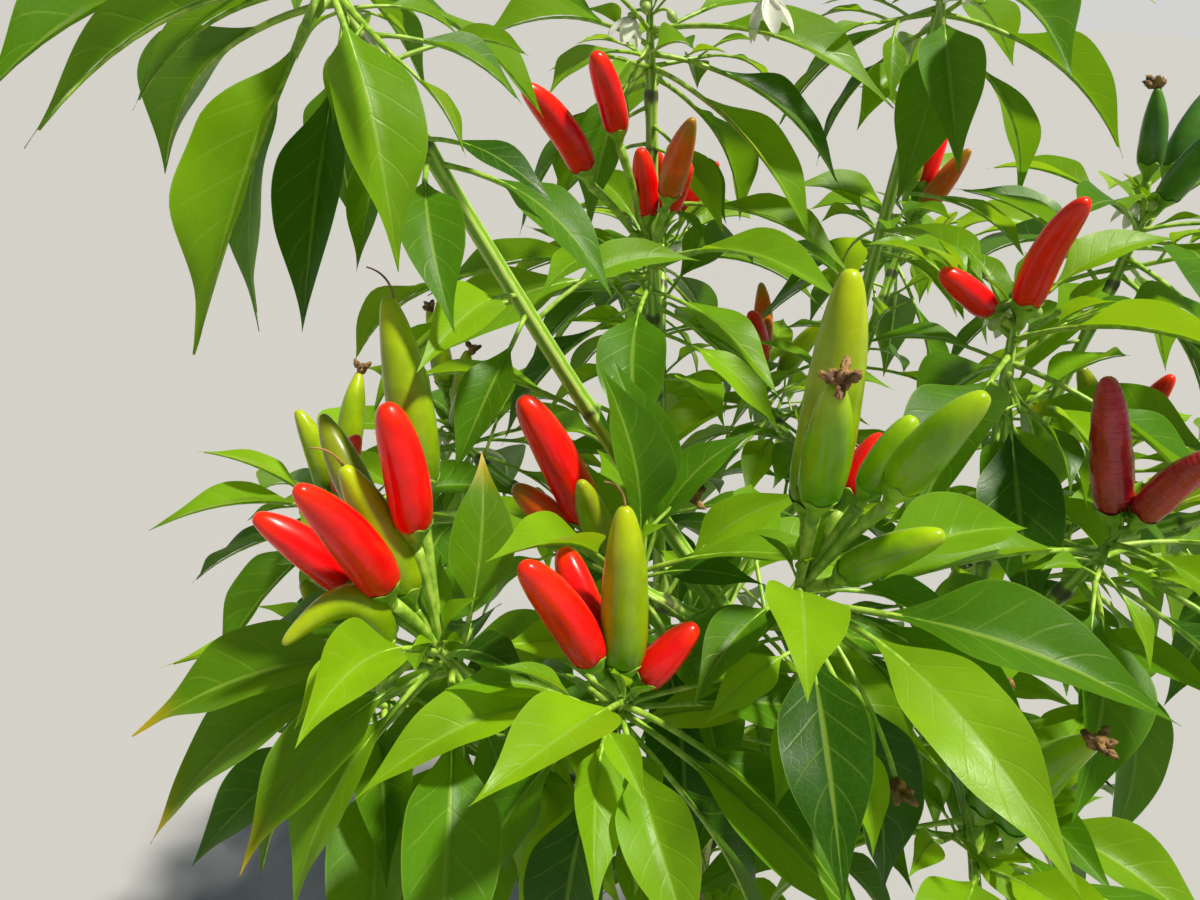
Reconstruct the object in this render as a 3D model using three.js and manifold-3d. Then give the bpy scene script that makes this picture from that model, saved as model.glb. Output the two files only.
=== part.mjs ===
// A chilli pepper plant rooted in the ground: a woody main stem, forked boughs, and at the tip of each bough
// a tuft of leaves round a bunch of upright fruit. Millimetres, +Z up, +Y away from the viewer, with the
// origin in the middle of the flat cut where the main stem meets the ground.
import * as THREE from "three";
import Module from "manifold-3d";

const wasm = await Module();
wasm.setup();

// Main stem and boughs
const stemTop = [4, 0, 200]; // where the main stem forks
const tipRadius = 2.8; // a bough that carries one tuft
const radiusPower = 0.4; // a bough's radius grows with the number of tufts it carries, to this power
const taper = 0.09; // share of the mean radius that a bough is thicker at its root, and thinner at its tip
const boughSag = 0.045; // how far a bough's middle is pulled under the straight line, as a share of its length
const boughSides = 6;
const boughSteps = 4;
const forkSwelling = 1.1; // of the main stem where it forks
const clearance = 0.3; // between solids that touch on the real plant
const smallestDetail = 0.05; // needless edges closer than this to a solid's surface are dropped

// Main stem and its root flare
const stemBend = [-9, 5, 96]; // the point that the stem leans towards on its way up
const stemWidening = 1.2; // from the fork to just over the flare
const footRadius = 15.5;
const flareHeight = 15; // over which the flare shrinks to a third
const flareLobes = 5;
const lobeDepth = 0.13; // share of the flare's radius
const stemSides = 15;
const stemSteps = 8;
const stepCrowding = 1.6; // towards the flare

// Tufts
const shootLength = 32; // of the shoot that carries a tuft, unless the tuft says otherwise
const shootRadius = 2.4;
const shootTipRadius = 1.7;
const shootRise = 0.09; // how much a shoot turns up from the line of its bough
const shootSides = 5;
const goldenTurn = 137.5; // degrees from one leaf to the next round the shoot
const turnToOutside = 0.8; // leaves crowd to the outside of the crown
const leafPitch = [34, -60]; // degrees above level, from the youngest leaf of a tuft to the oldest
const droop = 0.8; // below 1, the young leaves soon sink towards the pitch of the old ones
const leafReach = [50, 104]; // from shoot to leaf tip
const growth = [0.1, 0.72]; // of half a wave: the leaves in the middle of the shoot are the longest
const shownFeet = [0.15, 0.75]; // where leaves stand on the shoot, down from its top, as a share of its length
const filledFeet = [0.05, 0.95];
const spread = { turn: 40, pitch: 18, roll: 50, sway: 0.3 }; // of chance, in all
const reachSpread = [0.86, 1.1];

// Leaves, as shares of the reach from shoot to tip
const petioleShare = 0.27;
const leafWidth = 0.3;
const leafThickness = 0.016;
const leafArch = 0.25;
const leafFold = 0.24; // rise of the margins over the midrib, for each millimetre of width
const wideStations = [0.26, 0.6]; // along the blade
const wideShares = [0.96, 0.74]; // of the half width there
const middleStation = 0.42;
const petioleRadius = 1.05;
const neckShare = 0.9; // of the petiole's size at the shoot
const petioleDepth = 1.6; // over its half width

// Fruit
const fruitSides = 5;
const fruitStations = [0.06, 0.45, 0.84]; // along the fruit
const fruitShares = [0.96, 0.94, 0.56]; // of its radius there
const fruitAhead = 0.05; // share of the fruit that gives a ring's direction
const stalkRadius = 1.2;
const stalkWidening = 1.4; // from the shoot to the fruit
const fruitFoot = 0.12; // where on the shoot the stalks start, down from its top, as a share of its length
const fruitPitch = [50, 84]; // degrees above level
const fruitStalk = [14, 30];
const fruitLength = [30, 46];
const fruitBend = [0, 0.1]; // share of the length that it bows upwards
const fruitRadius = 3.4; // of a fruit without length
const fruitGirth = 0.07; // that each millimetre of length adds to the radius

// A leaf that meets another piece is turned, lowered and shortened a few times before it is left out
const tries = 7;
const tryTurn = 13;
const tryPitch = -7;
const tryShrink = 0.05;
const leafClearance = 0.35;
const bunchClearance = -1.4; // the fruit of one bunch that show may press together by this much

// Forks and boughs: parent, then the end point in millimetres. A bough with a tuft ends in the tuft's shoot.
const boughs = {
  front: ["stem", [-6, -40, 308]],
  right: ["stem", [58, 6, 298]],
  back: ["stem", [-22, 50, 310]],
  front_left: ["front", [-64, -84, 384]],
  front_upper: ["front", [-7, -50, 424]],
  right_front: ["right", [92, -34, 398]],
  right_back: ["right", [118, 50, 396]],
  back_left: ["back", [-88, 62, 402]],
  back_upper: ["back", [-34, 92, 424]],
  back_right: ["back", [52, 108, 412]],
};

// Tufts: the bough they grow on, the top of the shoot in millimetres, and what shows of them.
// leaves: turn, pitch, reach, roll. fruit: turn, pitch, stalk, length, bend. Angles in degrees, sizes in
// millimetres, bend as a share of the length that the fruit bows upwards. shoot is the shoot's own length, and
// more and fruitCount are how many leaves and fruit grow by rule.
const tufts = {
  left: {
    on: "front_left",
    at: [-108, -113, 459],
    shoot: 18,
    leaves: [
      [-165, -10, 92, -15],
      [-160, -30, 104, -10],
      [-138, -14, 82, -5],
      [-125, -42, 80, 5],
      [-145, -54, 76, 0],
      [-46, 26, 46, 10],
      [85, 62, 66, 20],
      [-46, -64, 72, 30],
      [170, -8, 84, -20],
    ],
    fruit: [
      [120, 70, 51, 54, 0.03],
      [170, 80, 43, 38, 0.03],
      [177, 67, 24, 42, 0.02],
      [-145, 61, 34, 43, 0.04],
      [-174, 44, 36, 32, 0.04],
      [-147, 25, 20, 29, 0.5],
      [145, 50, 47, 32, 0.02],
    ],
    more: 7,
  },
  middle: {
    on: "front_left",
    at: [-53, -128, 459],
    shoot: 18,
    leaves: [
      [-152, -4, 76, -10],
      [-140, -10, 28, 0],
      [-106, -8, 62, -35],
      [-80, -15, 34, 10],
      [-84, -18, 74, 15],
      [-40, -14, 84, -20],
      [30, 14, 60, 10],
      [-2, -8, 78, 15],
      [-140, -48, 72, 0],
    ],
    fruit: [
      [-176, 59, 18, 39, 0.02],
      [113, 80, 12, 48, 0.02],
      [146, 55, 18, 34, 0.03],
      [58, 72, 13, 32, 0.02],
    ],
    more: 7,
  },
  inner: {
    on: "front_upper",
    at: [-58, -74, 463],
    shoot: 26,
    leaves: [
      [113, 60, 80, 0],
      [96, 50, 52, 15],
      [-15, 15, 46, 30],
      [46, 58, 76, 10],
      [144, 60, 86, -20],
    ],
    fruit: [
      [167, 60, 23, 47, 0.02],
      [127, 55, 10, 27, 0],
      [174, 40, 24, 23, 0.02],
    ],
    more: 8,
  },
  centre_right: {
    on: "front_upper",
    at: [-4, -105, 485],
    shoot: 24,
    leaves: [
      [-58, -8, 102, 20],
      [-74, -14, 95, 20],
      [-25, 2, 106, 15],
      [-48, -56, 95, 10],
      [-79, -40, 72, 0],
      [0, -18, 62, 10],
      [-140, -8, 56, 0],
    ],
    fruit: [
      [95, 85, 28, 67, 0.02],
      [-106, 76, 38, 38, 0.02],
      [-33, 45, 17, 31, 0.04],
      [-29, 65, 47, 34, 0.04],
      [1, 70, 38, 24, 0.02],
      [44, 60, 32, 20, 0],
    ],
    more: 8,
  },
  high_left: {
    on: "front_upper",
    at: [-159, -35, 643],
    leaves: [
      [-105, -50, 114, 20],
      [-72, -48, 98, -10],
      [-118, -60, 104, 30],
      [-122, -20, 98, 35],
      [-160, -32, 66, 0],
      [60, -40, 60, 10],
    ],
    more: 8,
  },
  low_left: { on: "front_left", at: [-150, -72, 402], more: 13, fruitCount: 3 },
  red_right: {
    on: "right_front",
    at: [84, 4, 536],
    leaves: [
      [118, 40, 46, 0],
      [168, 0, 54, 0],
      [72, 32, 50, 10],
    ],
    fruit: [
      [-81, 72, 10, 44, 0.08],
      [-177, 32, 12, 26, 0],
    ],
    more: 10,
  },
  wrinkled_right: {
    on: "right_front",
    at: [112, -57, 485],
    fruit: [
      [146, 71, 9, 48, 0],
      [-44, 72, 14, 40, 0.05],
    ],
    more: 12,
  },
  low_front: { on: "right_front", at: [62, -128, 398], more: 14, fruitCount: 2 },
  right_high: {
    on: "right_back",
    at: [168, 92, 560],
    leaves: [[-136, 10, 82, 0]],
    more: 11,
    fruitCount: 3,
  },
  right_middle: {
    on: "right_back",
    at: [222, 8, 474],
    leaves: [[152, -8, 110, -25]],
    more: 13,
    fruitCount: 4,
  },
  right_low: { on: "right_back", at: [196, 100, 428], more: 13, fruitCount: 3 },
  left_middle: { on: "back_left", at: [-190, 40, 402], more: 14, fruitCount: 4 },
  back_left_low: { on: "back_left", at: [-150, 138, 400], more: 14, fruitCount: 3 },
  red_top: {
    on: "back_upper",
    at: [-50, 75, 531],
    leaves: [
      [-155, -18, 126, -20],
      [-50, 8, 108, 10],
      [-52, -12, 86, 0],
    ],
    fruit: [
      [-149, 48, 53, 43, 0.06],
      [-133, 64, 62, 32, 0.03],
      [-133, 75, 20, 30, 0.03],
      [-73, 77, 29, 27, 0.03],
      [-62, 69, 40, 41, 0.03],
    ],
    more: 8,
  },
  top: {
    on: "back_upper",
    at: [-58, 123, 622],
    leaves: [
      [-104, -52, 98, 0],
      [-22, -10, 112, 20],
      [-125, -10, 72, 0],
      [-35, -34, 112, 0],
    ],
    more: 9,
  },
  back: { on: "back_upper", at: [-38, 214, 500], more: 14, fruitCount: 4 },
  top_right: {
    on: "back_right",
    at: [66, 116, 652],
    leaves: [
      [-92, -36, 98, 10],
      [-107, -50, 96, -10],
    ],
    more: 11,
    fruitCount: 4,
  },
  back_right_middle: { on: "back_right", at: [102, 206, 522], more: 14, fruitCount: 4 },
  back_right_low: { on: "back_right", at: [30, 190, 416], more: 12, fruitCount: 3 },
};

const up = new THREE.Vector3(0, 0, 1);
const point = ([x, y, z]) => new THREE.Vector3(x, y, z);
const between = (low, high, share) => low + (high - low) * share;
const halfTurns = (degrees) => THREE.MathUtils.euclideanModulo(degrees + 180, 360) - 180; // from -180 to 180

// The same share from 0 to 1 each time, for a seed and a step
function chance(seed, step) {
  const wave = Math.sin(seed * 12.9898 + step * 78.233) * 43758.5453;
  return wave - Math.floor(wave);
}

// Unit vector from a turn round the vertical and a pitch above level, both in degrees
function heading(turn, pitch) {
  const [a, b] = [THREE.MathUtils.degToRad(turn), THREE.MathUtils.degToRad(pitch)];
  return new THREE.Vector3(Math.cos(b) * Math.cos(a), Math.cos(b) * Math.sin(a), Math.sin(b));
}

// Sum of vectors, each times a number: along(origin, [a, 2], [b, 3])
function along(origin, ...steps) {
  const sum = origin.clone();
  for (const [vector, length] of steps) sum.addScaledVector(vector, length);
  return sum;
}

// A closed solid from points and triangles, turned right way out if need be
function solidOf(points, triangles) {
  const make = (faces) =>
    new wasm.Manifold(
      new wasm.Mesh({
        numProp: 3,
        vertProperties: new Float32Array(points.flatMap((p) => p.toArray())),
        triVerts: new Uint32Array(faces.flat()),
      }),
    );
  const made = make(triangles);
  return made.volume() < 0 ? make(triangles.map(([a, b, c]) => [a, c, b])) : made;
}

// A closed solid through rings of points. A ring of one point is a tip.
function loft(rings) {
  const triangles = [];
  let start = 0;
  for (let i = 0; i + 1 < rings.length; i++) {
    const [here, next] = [rings[i].length, rings[i + 1].length];
    for (let j = 0; j < Math.max(here, next); j++) {
      const a = start + (j % here);
      const b = start + ((j + 1) % here);
      const c = start + here + (j % next);
      const d = start + here + ((j + 1) % next);
      if (here > 1) triangles.push([a, b, c]);
      if (next > 1) triangles.push([b, d, c]);
    }
    start += here;
  }
  const end = rings.at(-1).length;
  for (let j = 1; j + 1 < rings[0].length; j++) triangles.push([0, j + 1, j]);
  for (let j = 1; j + 1 < end; j++) triangles.push([start, start + j, start + j + 1]);
  return solidOf(rings.flat(), triangles);
}

// A ring of points across a direction
function ring(centre, direction, radius, sides, lobed = () => 1) {
  const reference = Math.abs(direction.z) > 0.85 ? new THREE.Vector3(1, 0, 0) : up;
  const a = new THREE.Vector3().crossVectors(direction, reference).normalize();
  const b = new THREE.Vector3().crossVectors(direction, a);
  return Array.from({ length: sides }, (_, i) => {
    const turn = (2 * Math.PI * i) / sides;
    const r = radius * lobed(turn);
    return along(centre, [a, r * Math.cos(turn)], [b, r * Math.sin(turn)]);
  });
}

// Boughs as curves: each has its path, and its radius at root and tip
function boughTree() {
  const carried = (name) =>
    Object.values(tufts).filter((tuft) => tuft.on === name).length +
    Object.entries(boughs)
      .filter(([, [parent]]) => parent === name)
      .reduce((sum, [child]) => sum + carried(child), 0);
  const ends = { stem: point(stemTop) };
  const limbs = [];
  const add = (name, parent, end, count) => {
    const start = ends[parent];
    const length = start.distanceTo(end);
    const middle = along(start.clone().lerp(end, 0.5), [up, -boughSag * length]);
    const path = new THREE.QuadraticBezierCurve3(start, middle, end);
    const radius = tipRadius * count ** radiusPower;
    limbs.push({ name, parent, path, rootRadius: radius * (1 + taper), tipRadius: radius * (1 - taper) });
    ends[name] = end;
  };
  for (const [name, [parent, end]] of Object.entries(boughs)) add(name, parent, point(end), carried(name));
  for (const [name, tuft] of Object.entries(tufts)) {
    const node = point(tuft.at);
    const start = ends[tuft.on];
    tuft.lean = along(node.clone().sub(start).normalize(), [up, shootRise]).normalize();
    tuft.shoot ??= shootLength;
    tuft.foot = along(node, [tuft.lean, -tuft.shoot]);
    tuft.node = node;
    add("to_" + name, tuft.on, tuft.foot, 1);
  }
  return limbs;
}

// One tapering bough, larger all round by grow
function boughSolid(limb, grow = 0) {
  const rings = [];
  for (let i = 0; i <= boughSteps; i++) {
    const share = i / boughSteps;
    const radius = between(limb.rootRadius, limb.tipRadius, share) + grow;
    const centre = limb.path.getPoint(share);
    const direction = limb.path.getTangent(share);
    if (i === boughSteps) centre.addScaledVector(direction, grow);
    rings.push(ring(centre, direction, radius, boughSides));
  }
  return loft(rings);
}

// The main stem, with its root flare in lobes and a flat cut at the ground
function stemSolid(topRadius, grow = 0) {
  const path = new THREE.QuadraticBezierCurve3(new THREE.Vector3(), point(stemBend), point(stemTop));
  const rings = [];
  for (let i = 0; i <= stemSteps; i++) {
    const share = (i / stemSteps) ** stepCrowding;
    const centre = path.getPoint(share);
    const flare = Math.exp(-centre.z / flareHeight);
    const straight = topRadius * between(stemWidening, 1, share);
    const radius = between(straight, footRadius, flare) + grow;
    const lobes = (turn) => 1 + lobeDepth * flare * Math.cos(flareLobes * turn);
    if (i === stemSteps) centre.z += grow;
    rings.push(ring(centre, up, radius, stemSides, lobes));
  }
  return loft(rings);
}

// Where things lie on a leaf: u along it from shoot to tip, across and over its surface in millimetres
function leafPlace(leaf) {
  const { root, turn, pitch, reach, roll, sway } = leaf;
  const direction = heading(turn, pitch);
  const side = new THREE.Vector3().crossVectors(heading(turn, 0), up);
  const over = new THREE.Vector3().crossVectors(side, direction);
  const rolled = side.clone().applyAxisAngle(direction, THREE.MathUtils.degToRad(roll));
  const normal = new THREE.Vector3().crossVectors(rolled, direction);
  return (u, across, rise) => {
    const bow = 2 * reach * u * (1 - u);
    return along(
      root,
      [direction, reach * u],
      [over, leafArch * bow],
      [side, sway * bow],
      [rolled, across],
      [normal, rise + leafFold * Math.abs(across)],
    );
  };
}

// A leaf with its petiole, or its blade alone, larger all round by grow
function leafSolid(leaf, grow = 0, petiole = true) {
  const place = leafPlace(leaf);
  const onBlade = (station) => between(petioleShare, 1, station);
  const thick = (leafThickness * leaf.reach) / 2 + grow;
  const half = (leafWidth * leaf.reach) / 2;
  const [near, far] = wideStations.map(onBlade);
  const [nearHalf, farHalf] = wideShares.map((share) => share * half + grow);
  const neck = petioleRadius * neckShare + grow;
  const middle = onBlade(middleStation);
  const points = [
    place(petioleShare, -neck, 0),
    place(near, -nearHalf, 0),
    place(far, -farHalf, 0),
    place(1 + grow / leaf.reach, 0, 0),
    place(far, farHalf, 0),
    place(near, nearHalf, 0),
    place(petioleShare, neck, 0),
    place(middle, 0, thick),
    place(middle, 0, -thick),
    place(petioleShare, 0, -petioleDepth * neck),
  ];
  const [above, under, keel] = [7, 8, 9];
  const triangles = [
    [under, 1, keel],
    [1, 0, keel],
    [under, keel, 5],
    [5, keel, 6],
  ];
  for (let i = 0; i < above; i++) triangles.push([above, i, (i + 1) % above]);
  for (let i = 1; i < 5; i++) triangles.push([under, i + 1, i]);
  if (!petiole) return solidOf(points, [...triangles, [0, 6, keel]]);

  const size = petioleRadius + grow;
  points.push(place(0, -size, 0), place(0, size, 0), place(0, 0, -petioleDepth * size));
  const neckRing = [0, 6, keel];
  const rootRing = [keel + 1, keel + 2, keel + 3];
  for (let i = 0; i < 3; i++) {
    const j = (i + 1) % 3;
    triangles.push([neckRing[i], neckRing[j], rootRing[i]], [neckRing[j], rootRing[j], rootRing[i]]);
  }
  return solidOf(points, [...triangles, rootRing]);
}

// One fruit: its body, with its stalk if wanted, larger all round by grow
function fruitSolid(fruit, grow = 0, stalk = true) {
  const { root, turn, pitch, reach, stalkShare, bend } = fruit;
  const direction = heading(turn, pitch);
  const side = new THREE.Vector3().crossVectors(heading(turn, 0), up);
  const over = new THREE.Vector3().crossVectors(side, direction);
  const length = reach * (1 - stalkShare);
  const radius = fruitRadius + fruitGirth * length;
  const centre = (share) => {
    const ahead = reach * stalkShare + length * share;
    return along(root, [direction, ahead], [over, 4 * bend * length * share * (1 - share)]);
  };
  const across = (share, size) => {
    const ahead = centre(share + fruitAhead).sub(centre(share)).normalize();
    return ring(centre(share), ahead, size + grow, fruitSides);
  };
  const body = fruitStations.map((share, i) => across(share, radius * fruitShares[i]));
  const tip = [centre(1 + grow / length)];
  if (!stalk) return loft([...body, tip]);
  const foot = ring(root, direction, stalkRadius + grow, fruitSides);
  return loft([foot, across(0, stalkRadius * stalkWidening), ...body, tip]);
}

// Leaves and fruit of a tuft: those of its table, and those that fill it by rule
function growthOf(tuft, seed) {
  const outside = THREE.MathUtils.radToDeg(Math.atan2(tuft.node.y - stemTop[1], tuft.node.x - stemTop[0]));
  const onShoot = (share) => along(tuft.node, [tuft.lean, -share * (tuft.shoot - shootRadius)]);
  const vary = (step, range) => range * (chance(seed, step) - 0.5);
  const fruitOf = ([turn, pitch, stalk, length, bend]) => {
    const reach = stalk + length;
    return { root: onShoot(fruitFoot), turn, pitch, reach, stalkShare: stalk / reach, bend };
  };
  const ruledFruit = (k) => [
    outside + goldenTurn * k + vary(k + 0.1, spread.turn),
    between(...fruitPitch, chance(seed, k + 0.2)),
    between(...fruitStalk, chance(seed, k + 0.3)),
    between(...fruitLength, chance(seed, k + 0.4)),
    between(...fruitBend, chance(seed, k + 0.5)),
  ];
  const shownLeaf = ([turn, pitch, reach, roll], k) => {
    const root = onShoot(between(...shownFeet, chance(seed, k + 0.6)));
    return { root, turn, pitch, reach, roll, sway: vary(k + 0.7, spread.sway) };
  };
  const ruledLeaf = (k) => {
    const age = (k + 0.5) / tuft.more;
    const turnAway = halfTurns(goldenTurn * k + vary(k + 1.1, spread.turn));
    const size = Math.sin(Math.PI * between(...growth, age)) * between(...reachSpread, chance(seed, k + 1.4));
    return {
      root: onShoot(between(...filledFeet, age)),
      turn: outside + turnAway * turnToOutside,
      pitch: between(...leafPitch, age ** droop) + vary(k + 1.3, spread.pitch),
      reach: between(...leafReach, size),
      roll: vary(k + 1.5, spread.roll),
      sway: vary(k + 1.7, spread.sway),
    };
  };
  const times = (count, make) => Array.from({ length: count ?? 0 }, (_, k) => make(k));
  return {
    shownFruit: (tuft.fruit ?? []).map(fruitOf),
    ruledFruit: times(tuft.fruitCount, ruledFruit).map(fruitOf),
    shownLeaves: (tuft.leaves ?? []).map(shownLeaf),
    ruledLeaves: times(tuft.more, ruledLeaf),
  };
}

function touches(a, b) {
  const [p, q] = [a.boundingBox(), b.boundingBox()];
  const apart = [0, 1, 2].some((i) => p.min[i] > q.max[i] || q.min[i] > p.max[i]);
  return !apart && !a.intersect(b).isEmpty();
}

// A leaf or a fruit in the first of its tries that is clear of all that is there, or nothing. Stalks may meet
// within one tuft, as they join there.
function settle(item, solidFor, owner, taken, ownClearance) {
  for (let i = 0; i < tries; i++) {
    const tried = {
      ...item,
      turn: item.turn + tryTurn * Math.ceil(i / 2) * (i % 2 ? 1 : -1),
      pitch: item.pitch + tryPitch * Math.floor(i / 2),
      reach: item.reach * (1 - tryShrink * i),
    };
    const whole = solidFor(tried, leafClearance);
    const blade = solidFor(tried, ownClearance, false);
    const meets = ({ by, all, body }) => (by === owner ? body && touches(blade, body) : touches(whole, all));
    if (!taken.some(meets)) return tried;
  }
  return null;
}

// Main stem and boughs, each clear of its parent and of those that leave it before
function growBoughs(limbs, taken) {
  const topRadius = limbs[0].rootRadius * forkSwelling;
  const stem = stemSolid(topRadius);
  const pieces = [["main_stem", stem, "bark"]];
  const cutters = { stem: stemSolid(topRadius, clearance) };
  const siblings = {};
  taken.push({ by: "stem", all: stem });
  for (const limb of limbs) {
    let solid = boughSolid(limb);
    for (const other of [limb.parent, ...(siblings[limb.parent] ?? [])]) solid = solid.subtract(cutters[other]);
    const kept = largest(solid);
    cutters[limb.name] = boughSolid(limb, clearance);
    (siblings[limb.parent] ??= []).push(limb.name);
    pieces.push(["bough_" + limb.name, kept, limb.name.startsWith("to_") ? "shoot" : "bark"]);
    taken.push({ by: "bough", all: kept });
  }
  return pieces;
}

// The largest body of a solid, without needless edges
function largest(solid) {
  const bodies = solid.asOriginal().simplify(smallestDetail).decompose();
  return bodies.sort((a, b) => b.volume() - a.volume())[0];
}

// Tufts: all their fruit first, then the leaves that show, then those that fill the crown
function growTufts(taken) {
  const grown = Object.entries(tufts).map(([name, tuft], i) => {
    const foot = ring(along(tuft.foot, [tuft.lean, clearance]), tuft.lean, shootRadius, shootSides);
    const tip = ring(along(tuft.node, [tuft.lean, shootRadius]), tuft.lean, shootTipRadius, shootSides);
    const shoot = loft([foot, tip]);
    taken.push({ by: name, all: shoot });
    return { name, made: [shoot], ...growthOf(tuft, i + 1) };
  });
  for (const kind of ["shownFruit", "ruledFruit", "shownLeaves", "ruledLeaves"]) {
    const solidFor = kind.endsWith("Fruit") ? fruitSolid : leafSolid;
    const ownClearance = kind === "shownFruit" ? bunchClearance : leafClearance;
    for (const tuft of grown) {
      for (const item of tuft[kind]) {
        const settled = settle(item, solidFor, tuft.name, taken, ownClearance);
        if (!settled) continue;
        const whole = solidFor(settled);
        tuft.made.push(whole);
        taken.push({ by: tuft.name, all: whole, body: solidFor(settled, 0, false) });
      }
    }
  }
  return grown.map(({ name, made }) => ["tuft_" + name, largest(wasm.Manifold.union(made)), "foliage"]);
}

const finishes = {
  bark: { color: 0x7d6a4a, roughness: 0.85 },
  shoot: { color: 0x5f8a2c, roughness: 0.55 },
  foliage: { color: 0x4f9a1c, roughness: 0.45 },
};

function meshOf([name, solid, finish]) {
  const { vertProperties, triVerts, numProp } = solid.getMesh();
  const positions = new Float32Array((vertProperties.length / numProp) * 3);
  for (let i = 0; i < positions.length / 3; i++) {
    positions.set(vertProperties.subarray(i * numProp, i * numProp + 3), i * 3);
  }
  const geometry = new THREE.BufferGeometry()
    .setAttribute("position", new THREE.BufferAttribute(positions, 3))
    .setIndex(new THREE.BufferAttribute(triVerts, 1));
  geometry.computeVertexNormals();
  const mesh = new THREE.Mesh(geometry, new THREE.MeshStandardMaterial({ ...finishes[finish], metalness: 0 }));
  mesh.name = name;
  return mesh;
}

const plant = new THREE.Group();
plant.name = "chilli_pepper_plant";
const taken = []; // what is there already, which a new leaf or fruit keeps clear of
for (const piece of [...growBoughs(boughTree(), taken), ...growTufts(taken)]) plant.add(meshOf(piece));

export default plant;
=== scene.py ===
# A chilli pepper plant in fruit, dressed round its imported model: stem and boughs with their bark, leaves with
# their stalks and midribs, pods with calyx and stalk, buds and flowers. Sizes are in millimetres until a mesh
# is made, which is in metres.
import math

import bpy
import numpy as np
from mathutils import Matrix, Vector, noise
from mathutils.bvhtree import BVHTree


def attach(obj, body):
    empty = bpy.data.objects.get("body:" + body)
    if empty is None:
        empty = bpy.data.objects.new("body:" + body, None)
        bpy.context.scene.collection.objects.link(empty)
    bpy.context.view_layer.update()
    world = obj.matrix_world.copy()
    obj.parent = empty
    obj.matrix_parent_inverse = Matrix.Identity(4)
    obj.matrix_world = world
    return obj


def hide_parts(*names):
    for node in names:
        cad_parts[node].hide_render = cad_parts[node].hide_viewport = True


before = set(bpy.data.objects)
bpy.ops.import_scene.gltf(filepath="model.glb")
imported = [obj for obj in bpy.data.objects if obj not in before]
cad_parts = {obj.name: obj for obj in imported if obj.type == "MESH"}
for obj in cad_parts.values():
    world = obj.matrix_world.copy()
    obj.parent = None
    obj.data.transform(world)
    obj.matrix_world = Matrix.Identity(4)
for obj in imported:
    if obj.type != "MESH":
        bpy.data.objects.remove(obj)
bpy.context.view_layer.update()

scene = bpy.context.scene
mm = 0.001

# Stem and boughs

limbSizes = {
    "stemTop": (4, 0, 200),  # where the main stem forks
    "stemBend": (-9, 5, 96),  # the point that it leans towards on its way up
    "stemWidening": 1.2, "footRadius": 15.5, "flareHeight": 15, "flareLobes": 5, "lobeDepth": 0.13,
    "tipRadius": 2.8,  # a bough that carries one tuft
    "radiusPower": 0.4, "taper": 0.09, "sag": 0.045, "forkSwelling": 1.1, "shootLength": 32,
    "shootRadius": 2.4, "shootTipRadius": 1.7, "shootRise": 0.09,
}
coarseShape = {
    "stemSides": 12, "stemSteps": 8, "limbSides": 6, "limbSteps": 4, "shootSides": 5, "shootGap": 0.3,
}
boughs = {  # parent and end point
    "front": ("stem", (-6, -40, 308)),
    "right": ("stem", (58, 6, 298)),
    "back": ("stem", (-22, 50, 310)),
    "front_left": ("front", (-64, -84, 384)),
    "front_upper": ("front", (-7, -50, 424)),
    "right_front": ("right", (92, -34, 398)),
    "right_back": ("right", (118, 50, 396)),
    "back_left": ("back", (-88, 62, 402)),
    "back_upper": ("back", (-34, 92, 424)),
    "back_right": ("back", (52, 108, 412)),
}
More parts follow.
